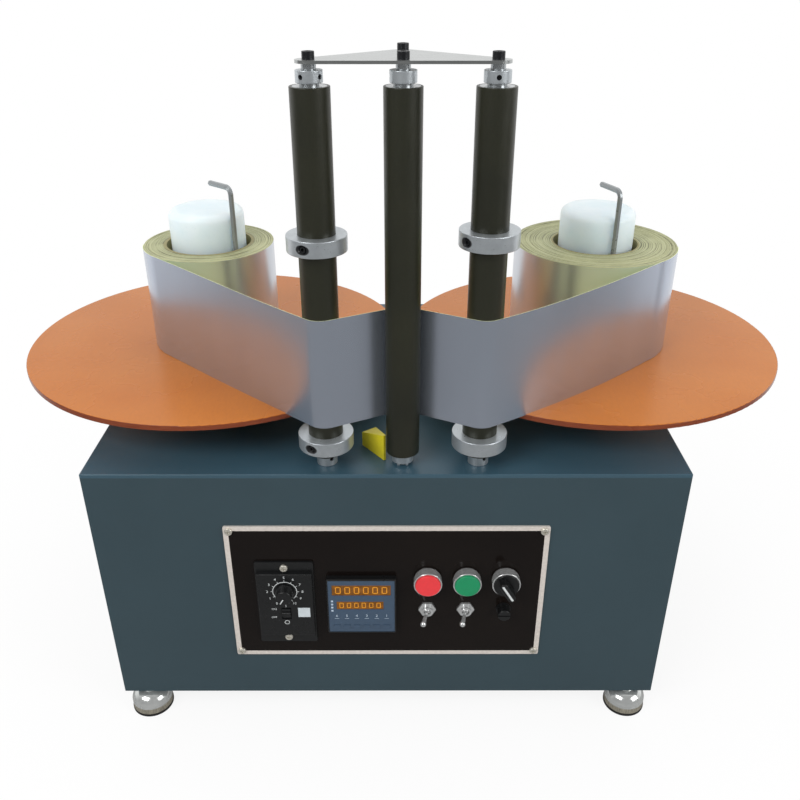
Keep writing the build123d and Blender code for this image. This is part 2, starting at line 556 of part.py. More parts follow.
# ---------------------------------------------------------------- reels
def spindle(x):
    """Turned spindle with its hub flange, the coupling, the motor shaft and the hub's screws."""
    shaft_z = DECK_Z - SPINDLE_DROP
    shaft = rod(SPINDLE_R, DISC_TOP + SPINDLE_REACH - shaft_z, x, REEL_Y, shaft_z)
    hub_z = DISC_Z - HUB_T
    shaft += rod(HUB_R, HUB_T, x, REEL_Y, hub_z)
    shoulder_z = DECK_Z + HOUSING_H + AXIAL_GAP
    shaft += rod(SHOULDER_R, hub_z - shoulder_z, x, REEL_Y, shoulder_z)
    screws = []
    pocket = REEL_HEAD_H + AXIAL_GAP
    for sx, sy in ring_places(REEL_SCREWS, REEL_SCREW_ORBIT, x, REEL_Y):
        shaft -= rod(REEL_HEAD_R + HOLE_GAP, pocket, sx, sy, hub_z)
        shaft -= rod(REEL_SCREW_R + HOLE_GAP, HUB_T, sx, sy, hub_z)
        head_z = hub_z + AXIAL_GAP
        head = rod(REEL_HEAD_R, REEL_HEAD_H, sx, sy, head_z)
        head -= hex_prism(SOCKET_FLATS, SOCKET_DEPTH, sx, sy, head_z)
        shank_top = DISC_TOP + REEL_SCREW_BITE
        shank_z = head_z + REEL_HEAD_H
        screws.append(head + rod(REEL_SCREW_R, shank_top - shank_z, sx, sy, shank_z))
    coupling_z = shaft_z - (COUPLING_L - COUPLING_GRIP)
    coupling = rod(COUPLING_R, COUPLING_L, x, REEL_Y, coupling_z)
    coupling = fillet(coupling.edges(), EDGE_R)
    coupling -= rod(SPINDLE_R + SEAT_GAP, COUPLING_GRIP, x, REEL_Y, shaft_z)
    coupling -= rod(MOTOR_SHAFT_R + SEAT_GAP, shaft_z - coupling_z, x, REEL_Y, coupling_z)
    stub_z = MOTOR_TOP - MOTOR_SHAFT_BORE + AXIAL_GAP
    stub = rod(MOTOR_SHAFT_R, shaft_z - AXIAL_GAP - stub_z, x, REEL_Y, stub_z)
    return group([shaft, coupling, stub] + screws)


def disc(x):
    plate = rod(DISC_R, DISC_T, x, REEL_Y, DISC_Z)
    plate = fillet(plate.edges(), DISC_EDGE_R)
    plate -= rod(SPINDLE_R + SEAT_GAP, DISC_T, x, REEL_Y, DISC_Z)
    for sx, sy in ring_places(REEL_SCREWS, REEL_SCREW_ORBIT, x, REEL_Y):
        plate -= rod(REEL_SCREW_R + HOLE_GAP, DISC_T, sx, sy, DISC_Z)
    return plate


def chuck(x):
    """Nylon core chuck, bored for the spindle and tapped for the screws up through the disc."""
    body = fillet(top_rim(rod(CHUCK_R, CHUCK_H, x, REEL_Y, DISC_TOP)), CHUCK_EDGE_R)
    body -= rod(SPINDLE_R + SEAT_GAP, SPINDLE_REACH, x, REEL_Y, DISC_TOP)
    for sx, sy in ring_places(REEL_SCREWS, REEL_SCREW_ORBIT, x, REEL_Y):
        body -= rod(REEL_SCREW_R + SLIDE_GAP, REEL_SCREW_BITE, sx, sy, DISC_TOP)
    return body


def core(x, radius):
    return tube(radius, CORE_BORE_R, WEB_H, x, REEL_Y, DISC_TOP + WEB_LIFT)


def label_roll(x, radius, core_radius):
    roll = tube(radius, core_radius + SEAT_GAP, WEB_H, x, REEL_Y, DISC_TOP + WEB_LIFT)
    return roll


def lock_pin(x, angle, twist):
    """Hexagon key that stands between chuck and core to wedge them, its arm over the chuck."""
    rise = CHUCK_H - LOCK_PIN_GAP + LOCK_PIN_RISE
    path = FilletPolyline((0, 0, 0), (0, 0, rise), (-LOCK_PIN_ARM, 0, rise), radius=LOCK_PIN_BEND)
    section = Rot(0, 0, 30) * RegularPolygon(LOCK_PIN_FLATS / 2, 6, major_radius=False)
    place = Pos(x, REEL_Y, DISC_TOP + LOCK_PIN_GAP) * Rot(0, 0, angle) * Pos(PIN_ORBIT, 0, 0)
    return place * Rot(0, 0, twist) * sweep(section, path=path)


# ---------------------------------------------------------------- roller tower
def posts():
    rods = []
    for x, y in POSTS:
        post = rod(POST_R, POST_TOP + POST_DROP, x, y, DECK_Z - POST_DROP)
        depth = TOP_BOLT_L - PLATE_T + TAP_DRILL
        rods.append(post - rod(TOP_BOLT_R + SLIDE_GAP, depth, x, y, DECK_Z + POST_TOP - depth))
    return group(rods)


def post_nuts():
    nuts = []
    for x, y in POSTS:
        z = DECK_Z - DECK_T - POST_NUT_H
        nuts.append(hex_prism(POST_NUT_FLATS, POST_NUT_H, x, y, z)
                    - rod(POST_R + SEAT_GAP, POST_NUT_H, x, y, z))
    return group(nuts)


def shaft_collar_places():
    """Radius, height, x, z and first set screw's heading of each collar clamped to a post."""
    places = [(BASE_COLLAR_R, BASE_COLLAR_H, x, DECK_Z, BASE_GRUB_ANGLE)
              for x in (ROLLER_XS[0], ROLLER_XS[2])]
    for x, heading in zip(ROLLER_XS, TOP_GRUB_ANGLES):
        places.append((TOP_COLLAR_R, TOP_COLLAR_H, x, DECK_Z + TOP_COLLAR_Z, heading))
    return places


def shaft_collars():
    collars = []
    for radius, height, x, z, heading in shaft_collar_places():
        collar = rod(radius, height, x, ROLLER_Y, z)
        collar = fillet(collar.edges(), TUBE_EDGE_R)
        collar -= rod(POST_R + SEAT_GAP, height, x, ROLLER_Y, z)
        for angle in (heading, heading + GRUB_SPREAD):
            collar -= spoke(GRUB_R + SLIDE_GAP, POST_R, radius + OVERRUN, x, ROLLER_Y, z + height / 2, angle)
        collars.append(collar)
    return group(collars)


def collar_screws():
    screws = []
    for radius, height, x, z, heading in shaft_collar_places():
        mid = z + height / 2
        outer = radius - GRUB_RECESS
        for angle in (heading, heading + GRUB_SPREAD):
            screw = spoke(GRUB_R, POST_R + SLIDE_GAP, outer, x, ROLLER_Y, mid, angle)
            socket = spoke(GRUB_R * 0.5, outer - GRUB_RECESS, outer, x, ROLLER_Y, mid, angle)
            screws.append(screw - socket)
    return group(screws)


def roller_tube(x, radius):
    barrel = rod(radius, TUBE_TOP - TUBE_BOTTOM, x, ROLLER_Y, DECK_Z + TUBE_BOTTOM)
    barrel = fillet(barrel.edges(), TUBE_EDGE_R)
    return barrel - rod(BORE_R, TUBE_TOP - TUBE_BOTTOM, x, ROLLER_Y, DECK_Z + TUBE_BOTTOM)


def guide_collar(x, z, angle):
    """Clamp collar on a roller, with its countersunk set screw."""
    body = rod(GUIDE_COLLAR_R, GUIDE_COLLAR_H, x, ROLLER_Y, z)
    body = fillet(body.edges(), COLLAR_EDGE_R)
    body -= rod(SIDE_TUBE_R + SLIDE_GAP, GUIDE_COLLAR_H, x, ROLLER_Y, z)
    mid = z + GUIDE_COLLAR_H / 2
    thread = COLLAR_SCREW_R + SLIDE_GAP
    body -= spoke(thread, SIDE_TUBE_R, GUIDE_COLLAR_R + OVERRUN, x, ROLLER_Y, mid, angle)
    sink = Cone(thread, COLLAR_CONE_R, COLLAR_CONE_DEPTH + OVERRUN, align=BASE)
    mouth = Pos(GUIDE_COLLAR_R - COLLAR_CONE_DEPTH, 0, 0) * Rot(0, 90, 0) * sink
    body -= Pos(x, ROLLER_Y, mid) * Rot(0, 0, angle) * mouth
    head_r = GUIDE_COLLAR_R - COLLAR_CONE_DEPTH * 0.4
    tip_r = SIDE_TUBE_R + 2 * SLIDE_GAP
    screw = spoke(COLLAR_SCREW_R, tip_r, head_r, x, ROLLER_Y, mid, angle)
    key = extrude(RegularPolygon(COLLAR_SOCKET_FLATS / 2, 6, major_radius=False), COLLAR_SOCKET_DEPTH)
    key = Pos(head_r - COLLAR_SOCKET_DEPTH, 0, 0) * Rot(0, 90, 0) * key
    screw -= Pos(x, ROLLER_Y, mid) * Rot(0, 0, angle) * key
    return group([body, screw])


def pulse_wheel():
    """Hub pressed into the foot of the centre roller, with a ring of screws for the sensor to count."""
    rise = TUBE_BOTTOM - PULSE_HUB_Z
    hub = rod(PULSE_HUB_R, rise, 0, ROLLER_Y, DECK_Z + PULSE_HUB_Z)
    hub += rod(ROLLER_BEARING_R, PULSE_PLUG_H, 0, ROLLER_Y, DECK_Z + TUBE_BOTTOM)
    hub -= rod(POST_R + HOLE_GAP, rise + PULSE_PLUG_H, 0, ROLLER_Y, DECK_Z + PULSE_HUB_Z)
    screws = []
    for x, y in ring_places(PULSE_SCREWS, PULSE_ORBIT, 0, ROLLER_Y, 0.0):
        length = PULSE_HUB_Z - PULSE_SCREW_Z + PULSE_SCREW_BITE
        hub -= rod(PULSE_SCREW_R + SEAT_GAP, PULSE_SCREW_BITE, x, y, DECK_Z + PULSE_HUB_Z)
        screws.append(rod(PULSE_SCREW_R, length, x, y, DECK_Z + PULSE_SCREW_Z))
    return group([hub] + screws)


def pulse_sensor():
    """Sensor block beside the pulse wheel: its top slopes down away from the roller."""
    frame = sensor_frame()
    plan = Polyline((0, 0), (0, SENSOR_NARROW), (SENSOR_LENGTH, SENSOR_NARROW),
                    (SENSOR_LENGTH, SENSOR_NARROW - SENSOR_WIDE), close=True)
    body = Pos(0, 0, SENSOR_BASE_T) * extrude(make_face(plan), SENSOR_NEAR_H)
    slope = degrees(atan2(SENSOR_NEAR_H - SENSOR_FAR_H, SENSOR_LENGTH))
    above = Box(3 * SENSOR_LENGTH, 3 * SENSOR_WIDE, SENSOR_NEAR_H, align=BASE)
    body -= Pos(0, 0, SENSOR_BASE_T + SENSOR_NEAR_H) * Rot(0, slope, 0) * above
    shim = extrude(make_face(plan), SENSOR_BASE_T)
    sx, sy = sensor_screw_place()
    hole = rod(SENSOR_SCREW_R + SLIDE_GAP, SENSOR_BASE_T + SENSOR_SCREW_BITE, sx, sy)
    screw = rod(SENSOR_SCREW_R, SENSOR_BASE_T + SENSOR_SCREW_BITE + DECK_T, sx, sy, -DECK_T)
    screw += rod(SENSOR_SCREW_HEAD_R, SENSOR_SCREW_HEAD_H, sx, sy, -DECK_T - SENSOR_SCREW_HEAD_H)
    return group([frame * (body - hole), frame * (shim - hole), frame * screw])


def top_plate():
    """Triangular plate that ties the four posts together."""
    corners = [POSTS[0], POSTS[2], POSTS[3]]
    outline = make_hull([edge for x, y in corners for edge in (Pos(x, y) * Circle(PLATE_MARGIN)).edges()])
    plate = Pos(0, 0, DECK_Z + POST_TOP) * extrude(outline, PLATE_T)
    for x, y in POSTS:
        plate -= rod(TOP_BOLT_R + HOLE_GAP, PLATE_T, x, y, DECK_Z + POST_TOP)
    return plate


def top_bolts():
    bolts = []
    for x, y in POSTS:
        z = DECK_Z + POST_TOP + PLATE_T
        head = rod(TOP_HEAD_R, TOP_HEAD_H, x, y, z)
        head = fillet(top_rim(head), TUBE_EDGE_R)
        head -= hex_prism(SOCKET_FLATS, SOCKET_DEPTH, x, y, z + TOP_HEAD_H - SOCKET_DEPTH)
        bolts.append(head + rod(TOP_BOLT_R, TOP_BOLT_L, x, y, z - TOP_BOLT_L))
    return group(bolts)


# ---------------------------------------------------------------- label web
def web_guides():
    """Axis and signed radius of what the web passes: positive where it is left of the web's way."""
    lift = SOFT_GAP + WEB_T / 2
    signs = (1, -1, 1)
    guides = [((REEL_XS["left"], REEL_Y), ROLL_RS["left"] + lift)]
    for x, radius, sign in zip(ROLLER_XS, ROLLER_RS, signs):
        guides.append(((x, ROLLER_Y), sign * (radius + lift)))
    guides.append(((REEL_XS["right"], REEL_Y), ROLL_RS["right"] + lift))
    return guides


def web_side(offset):
    """One face of the web, seen from above: straight runs joined by arcs round the rollers."""
    guides = [(centre, radius - offset) for centre, radius in web_guides()]
    edges, arrive = [], None
    for (c1, r1), (c2, r2) in zip(guides, guides[1:]):
        dx, dy = c2[0] - c1[0], c2[1] - c1[1]
        normal = atan2(dy, dx) + acos((r2 - r1) / hypot(dx, dy))
        start, end = [(c[0] - r * cos(normal), c[1] - r * sin(normal)) for c, r in ((c1, r1), (c2, r2))]
        if arrive is not None:
            point, before = arrive
            middle = (before + normal) / 2
            half_way = (c1[0] - r1 * cos(middle), c1[1] - r1 * sin(middle))
            edges.append(ThreePointArc(point, half_way, start))
        edges.append(Line(start, end))
        arrive = (end, normal)
    return edges


def label_web():
    left, right = web_side(WEB_T / 2), web_side(-WEB_T / 2)
    ends = [Line(left[0] @ 0, right[0] @ 0), Line(left[-1] @ 1, right[-1] @ 1)]
    section = make_face(left + right + ends)
    return Pos(0, 0, DISC_TOP + WEB_LIFT) * extrude(section, WEB_H)


# ---------------------------------------------------------------- control panel
def control_panel():
    plate = level_block(PANEL_W, PANEL_H, PANEL_Y, FACE_Y, CAB_X, PANEL_Z)
    plate = ease(plate, Axis.Y, PANEL_CORNER_R)
    return cut_panel_openings(plate, PANEL_Y, FACE_Y)


def panel_screws():
    screws = [pan_screw(x, z, PANEL_Y) for x, z in panel_screw_places()]
    screws += [pan_screw(x, z, PANEL_Y - SPEED_T) for x, z in speed_screw_places()]
    return group(screws)


def speed_controller():
    x = CAB_X + SPEED_X
    plate = level_block(SPEED_W, SPEED_H, PANEL_Y - SPEED_T, PANEL_Y, x, SPEED_Z)
    plate = ease(plate, Axis.Y, PANEL_CORNER_R)
    front_w = SPEED_W - 2 * SPEED_FRONT_INSET
    front = level_block(front_w, SPEED_FRONT_H, SPEED_Y, PANEL_Y - SPEED_T, x, SPEED_Z)
    front = fillet(front_rim(front), EDGE_R)
    body = level_block(SPEED_BODY_W, SPEED_BODY_H, PANEL_Y, PANEL_Y + SPEED_BODY_L, x, SPEED_Z)
    unit = plate + front + body
    for sx, sz in speed_screw_places():
        unit -= level_rod(PAN_SCREW_R, PANEL_Y - SPEED_T, PANEL_Y, sx, sz)
    unit -= level_rod(KNOB_SHAFT_R + SLIDE_GAP, SPEED_Y, SPEED_Y + KNOB_SHAFT_L + OVERRUN, x, KNOB_Z)
    well_w, well_h = ROCKER_W + 2 * ROCKER_GAP, ROCKER_H + 3 * ROCKER_GAP
    unit -= level_block(well_w, well_h, SPEED_Y, SPEED_Y + ROCKER_D + 3 * ROCKER_GAP, x, ROCKER_Z)
    half = ROCKER_W / 2 + ROCKER_PIN_OUT + ROCKER_GAP
    pin = Cylinder(ROCKER_PIN_R + SLIDE_GAP, 2 * half)
    return unit - Pos(x, ROCKER_Y, ROCKER_Z) * Rot(0, 90, 0) * pin


def speed_knob():
    """Knob with a pointer groove, turned to its zero position."""
    tip_r = KNOB_R * 0.86
    grip = Rot(90, 0, 0) * Cone(KNOB_R, tip_r, KNOB_H, align=BASE)
    grip = fillet(front_rim(grip), EDGE_R)
    groove_l = tip_r * 0.75
    groove = level_block(KNOB_LINE_W, groove_l, -KNOB_H, KNOB_LINE_DEPTH - KNOB_H, 0, tip_r - groove_l / 2)
    knob = grip - groove + level_rod(KNOB_SHAFT_R, 0, KNOB_LIFT + KNOB_SHAFT_L, 0, 0)
    return Pos(CAB_X + SPEED_X, SPEED_Y - KNOB_LIFT, KNOB_Z) * Rot(0, -KNOB_REST, 0) * knob


def run_stop_switch():
    """Rocker with a crowned front, tipped to stop; it turns about the pin through its middle."""
    paddle = Box(ROCKER_W, ROCKER_D, ROCKER_H)
    paddle += Pos(0, -ROCKER_D / 2, 0) * Rot(0, 90, 0) * Cylinder(ROCKER_D / 2, ROCKER_W)
    paddle += Rot(0, 90, 0) * Cylinder(ROCKER_PIN_R, ROCKER_W + 2 * ROCKER_PIN_OUT)
    return Pos(CAB_X + SPEED_X, ROCKER_Y, ROCKER_Z) * Rot(ROCKER_TILT, 0, 0) * paddle


def counter_case():
    x = CAB_X + COUNTER_X
    bezel = level_block(COUNTER_SIDE, COUNTER_SIDE, PANEL_Y - COUNTER_T, PANEL_Y, x, COUNTER_Z)
    bezel = ease(bezel, Axis.Y, COUNTER_CORNER_R)
    bezel = fillet(front_rim(bezel), EDGE_R)
    body = level_block(COUNTER_BODY, COUNTER_BODY, PANEL_Y, PANEL_Y + COUNTER_BODY_L, x, COUNTER_Z)
    seat_y = PANEL_Y - COUNTER_T + COUNTER_FACE_T
    return bezel + body - level_block(COUNTER_FACE, COUNTER_FACE, PANEL_Y - COUNTER_T, seat_y, x, COUNTER_Z)


def counter_face():
    x = CAB_X + COUNTER_X
    front = PANEL_Y - COUNTER_T + COUNTER_FACE_T / 3
    side = COUNTER_FACE - 2 * SEAT_GAP
    face = level_block(side, side, front, PANEL_Y - COUNTER_T + COUNTER_FACE_T, x, COUNTER_Z)
    for width, height, wx, wz in WINDOWS:
        face -= level_block(width, height, front, front + WINDOW_DEPTH, x + wx, COUNTER_Z + wz)
    key_z = COUNTER_Z - COUNTER_FACE / 2 + KEY_RISE
    for i in range(KEYS):
        key_x = x + (i - (KEYS - 1) / 2) * KEY_PITCH
        face += level_block(KEY_W, KEY_H, front - KEY_OUT, front, key_x, key_z)
    return face


def control_body(x):
    """Head, gasket, barrel and contact block of a 22 mm control, bored for its stem."""
    body = level_rod(HEAD_R, HEAD_Y, PANEL_Y - GASKET_T, x, BUTTON_Z)
    body = fillet(front_rim(body), EDGE_R * 0.6)
    body += level_rod(GASKET_R, PANEL_Y - GASKET_T, PANEL_Y, x, BUTTON_Z)
    block_y = PANEL_Y + BARREL_L
    body += level_rod(BARREL_R, PANEL_Y, block_y, x, BUTTON_Z)
    body += level_block(BLOCK_W, BLOCK_H, block_y, block_y + BLOCK_L, x, BUTTON_Z)
    well_end = HEAD_Y - CAP_PROUD + CAP_T + BUTTON_TRAVEL + CAP_GAP
    body -= level_rod(CAP_R + CAP_GAP, HEAD_Y, well_end, x, BUTTON_Z)
    stem_end = HEAD_Y - CAP_PROUD + CAP_T + STEM_L + BUTTON_TRAVEL + CAP_GAP
    return body - level_rod(STEM_R + SLIDE_GAP, HEAD_Y, stem_end, x, BUTTON_Z)


def button_bezels():
    return group([control_body(CAB_X + column) for column in CONTROL_COLUMNS[:2]])


def button_cap(x):
    front = HEAD_Y - CAP_PROUD
    cap = level_rod(CAP_R, front, front + CAP_T, x, BUTTON_Z)
    cap = fillet(front_rim(cap), EDGE_R)
    return cap + level_rod(STEM_R, front + CAP_T, front + CAP_T + STEM_L, x, BUTTON_Z)


def selector_knob():
    """Round base in the selector's head with a bar handle across it."""
    x = CAB_X + CONTROL_COLUMNS[2]
    front = HEAD_Y - CAP_PROUD
    knob = level_rod(CAP_R, front, front + CAP_T, x, BUTTON_Z)
    outline = SlotOverall(HANDLE_L, HANDLE_W, rotation=90 + HANDLE_ANGLE)
    handle = Pos(x, front, BUTTON_Z) * Rot(90, 0, 0) * extrude(outline, HANDLE_OUT - CAP_PROUD)
    handle = fillet(front_rim(handle), EDGE_R)
    return knob + handle + level_rod(STEM_R, front + CAP_T, front + CAP_T + STEM_L, x, BUTTON_Z)


def toggle_bodies():
    bodies = []
    for column in CONTROL_COLUMNS[:2]:
        x = CAB_X + column
        front = PANEL_Y - TOGGLE_BUSH_OUT
        back = FACE_Y + SHEET
        body = level_rod(TOGGLE_BUSH_R, front, back, x, LOWER_Z)
        body += level_hex(TOGGLE_NUT_FLATS, PANEL_Y - TOGGLE_NUT_T, PANEL_Y, x, LOWER_Z)
        body += level_block(TOGGLE_BODY_W, TOGGLE_BODY_H, back, back + TOGGLE_BODY_L, x, LOWER_Z)
        socket_end = TOGGLE_Y + TOGGLE_BALL_R + SLIDE_GAP
        body -= level_rod(TOGGLE_BALL_R + SLIDE_GAP, front, socket_end, x, LOWER_Z)
        bodies.append(body)
    return group(bodies)


def toggle_lever(x):
    """Bat lever, thrown to the left: it swings about the ball in the bush."""
    ball = Sphere(TOGGLE_BALL_R)
    length = TOGGLE_LEVER - TOGGLE_BALL_R / 2
    stick = Pos(0, 0, TOGGLE_BALL_R / 2) * Cone(TOGGLE_NECK_R, TOGGLE_TIP_R * 0.8, length, align=BASE)
    tip = Pos(0, 0, TOGGLE_LEVER) * Sphere(TOGGLE_TIP_R)
    return Pos(x, TOGGLE_Y, LOWER_Z) * Rot(0, 0, -TOGGLE_THROW) * Rot(90, 0, 0) * (ball + stick + tip)


def fuse_holder():
    x = CAB_X + CONTROL_COLUMNS[2]
    cap_y = PANEL_Y - FUSE_FLANGE_T - FUSE_CAP_L
    body = level_rod(FUSE_R, PANEL_Y - FUSE_FLANGE_T, PANEL_Y, x, LOWER_Z)
    cap = level_rod(FUSE_CAP_R, cap_y, PANEL_Y - FUSE_FLANGE_T, x, LOWER_Z)
    cap = fillet(front_rim(cap), EDGE_R)
    cap -= level_block(2 * FUSE_CAP_R, FUSE_SLOT, cap_y, cap_y + FUSE_SLOT, x, LOWER_Z)
    return body + cap + level_rod(FUSE_BODY_R, PANEL_Y, PANEL_Y + FUSE_BODY_L, x, LOWER_Z)


# ---------------------------------------------------------------- every node
nodes = {
    "cabinet_deck": cabinet_deck(),
    "cabinet_front": cabinet_front(),
    "cabinet_sides": cabinet_sides(),
    "rear_cover": rear_cover(),
    "base_plate": base_plate(),
    "cover_screws": cover_screws(),
    "cable_gland": cable_gland(),
    "bearing_housings": bearing_housings(),
    "housing_bolts": housing_bolts(),
    "bearings": bearings(),
    "gearmotors": gearmotors(),
    "motor_standoffs": motor_standoffs(),
    "posts": posts(),
    "post_nuts": post_nuts(),
    "shaft_collars": shaft_collars(),
    "collar_screws": collar_screws(),
    "top_plate": top_plate(),
    "top_bolts": top_bolts(),
    "pulse_sensor": pulse_sensor(),
    "pulse_wheel": pulse_wheel(),
    "label_web": label_web(),
    "control_panel": control_panel(),
    "panel_screws": panel_screws(),
    "speed_controller": speed_controller(),
    "speed_knob": speed_knob(),
    "run_stop_switch": run_stop_switch(),
    "counter_case": counter_case(),
    "counter_face": counter_face(),
    "button_bezels": button_bezels(),
    "stop_button_cap": button_cap(CAB_X + CONTROL_COLUMNS[0]),
    "start_button_cap": button_cap(CAB_X + CONTROL_COLUMNS[1]),
    "selector_bezel": control_body(CAB_X + CONTROL_COLUMNS[2]),
    "selector_knob": selector_knob(),
    "toggle_bodies": toggle_bodies(),
    "left_toggle_lever": toggle_lever(CAB_X + CONTROL_COLUMNS[0]),
    "right_toggle_lever": toggle_lever(CAB_X + CONTROL_COLUMNS[1]),
    "fuse_holder": fuse_holder(),
}
for side, x in REEL_XS.items():
    nodes[f"{side}_spindle"] = spindle(x)
    nodes[f"{side}_disc"] = disc(x)
    nodes[f"{side}_chuck"] = chuck(x)
    nodes[f"{side}_core"] = core(x, CORE_RS[side])
    nodes[f"{side}_label_roll"] = label_roll(x, ROLL_RS[side], CORE_RS[side])
    nodes[f"{side}_lock_pin"] = lock_pin(x, *PIN_TURNS[side])
for name, x, radius in zip(("left", "centre", "right"), ROLLER_XS, ROLLER_RS):
    nodes[f"{name}_roller_tube"] = roller_tube(x, radius)
for name, (height, heading) in GUIDE_COLLARS.items():
    x = ROLLER_XS[2] if name.startswith("right") else ROLLER_XS[0]
    nodes[f"{name}_collar"] = guide_collar(x, DECK_Z + height, heading)
for name, (x, y) in FOOT_PLACES.items():
    nodes[f"{name}_foot"] = foot(x, y)

for name, shape in nodes.items():
    export_step(shape, f"parts/{name}.step")
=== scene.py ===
"""Bench label rewinder: detail pieces, finishes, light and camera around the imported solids."""
import random
from math import acos, atan2, cos, hypot, pi, radians, sin

import bmesh
import bpy
from mathutils import Matrix, Vector

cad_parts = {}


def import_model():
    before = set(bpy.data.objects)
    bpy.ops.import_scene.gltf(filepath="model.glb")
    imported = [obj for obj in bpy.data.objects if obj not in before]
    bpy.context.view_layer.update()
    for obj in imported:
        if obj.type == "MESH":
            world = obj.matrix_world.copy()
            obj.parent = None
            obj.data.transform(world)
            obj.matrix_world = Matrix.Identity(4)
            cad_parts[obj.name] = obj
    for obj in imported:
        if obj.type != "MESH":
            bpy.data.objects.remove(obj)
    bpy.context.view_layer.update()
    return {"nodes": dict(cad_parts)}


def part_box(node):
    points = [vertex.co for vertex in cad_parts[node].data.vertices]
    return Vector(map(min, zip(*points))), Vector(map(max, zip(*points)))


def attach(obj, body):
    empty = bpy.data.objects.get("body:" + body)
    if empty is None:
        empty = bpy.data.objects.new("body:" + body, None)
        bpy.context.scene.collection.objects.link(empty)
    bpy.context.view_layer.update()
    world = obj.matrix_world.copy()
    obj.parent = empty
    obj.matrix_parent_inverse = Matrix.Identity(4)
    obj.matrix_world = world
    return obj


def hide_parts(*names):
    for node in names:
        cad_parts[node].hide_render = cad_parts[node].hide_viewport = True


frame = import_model()
scene = bpy.context.scene
NODES = frame["nodes"]


# ---------------------------------------------------------------- places read from the frame
def low(node):
    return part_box(node)[0]


def high(node):
    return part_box(node)[1]


def centre(node):
    return (low(node) + high(node)) / 2


def half_width(node):
    return (high(node).x - low(node).x) / 2


DECK_Z = high("cabinet_deck").z
FACE_Y = low("cabinet_front").y
ROLLERS = {side: centre(f"{side}_roller_tube") for side in ("left", "centre", "right")}
REELS = {side: centre(f"{side}_disc") for side in ("left", "right")}
ROLL_R = {side: half_width(f"{side}_label_roll") for side in REELS}


# ---------------------------------------------------------------- materials
def srgb(r, g, b):
    """A displayed colour, 0 to 255, as linear values."""
    out = []
    for v in (r, g, b):
        v = v / 255
        out.append(v / 12.92 if v <= 0.04045 else ((v + 0.055) / 1.055) ** 2.4)
    return (*out, 1.0)


SATIN, SATIN_STAIN, SATIN_METAL = srgb(192, 198, 202), srgb(170, 176, 180), 0.75
CLAMP_WIDE, CLAMP_HIGH, CLAMP_DARK = 0.0066, 0.0046, srgb(26, 27, 29)
CLAMP_HEADINGS = {"left_upper": -113.0, "left_lower": -119.0,
                  "right_upper": -143.0, "right_lower": 60.0}
PANEL_BORDER = 0.0052
PAD_TOP, BAND_TOP = 0.0035, 0.0105      # heights of a foot's rubber pad and knurled band
FOOT_METAL, BAND_DULL = 0.72, 0.65      # metallic share of the dome, less that of the band
LAYER_DRIFT = 0.0035        # how far the rings of a roll wander off round


def shade(color, factor, lift=0.0):
    """The same colour, darker or lighter."""
    return (*(min(c * factor + lift, 1.0) for c in color[:3]), 1.0)


class Graph:
    """Shader nodes of a material or a world while they are put together."""

    def __init__(self, tree):
        self.nodes, self.links = tree.nodes, tree.links

    def feed(self, target, value):
        """Links a socket's value, or sets a plain one."""
        if isinstance(value, bpy.types.NodeSocket):
            self.links.new(value, target)
        else:
            target.default_value = value

    def node(self, kind, inputs=(), **properties):
        node = self.nodes.new(kind)
        for key, value in properties.items():
            setattr(node, key, value)
        for key, value in dict(inputs).items():
            self.feed(node.inputs[key], value)
        return node

    def spread(self, value, low_out, high_out, low_in=0.3, high_in=0.7):
        """Maps a value's range onto another, clamped at both ends."""
        return self.node("ShaderNodeMapRange", {
            "Value": value, "From Min": low_in, "From Max": high_in,
            "To Min": low_out, "To Max": high_out}).outputs["Result"]

    def math(self, operation, a, b=0.0):
        return self.node("ShaderNodeMath", {0: a, 1: b}, operation=operation).outputs[0]

    def length(self, vector):
        return self.node("ShaderNodeVectorMath", {0: vector}, operation="LENGTH").outputs["Value"]

    def axis(self, letter, vector):
        return self.node("ShaderNodeSeparateXYZ", {0: vector}).outputs[letter]

    def mix(self, factor, a, b):
        """Mixes two colours, whose sockets come after those of the node's other types."""
        node = self.node("ShaderNodeMix", {0: factor, 6: a, 7: b}, data_type="RGBA")
        return node.outputs[2]


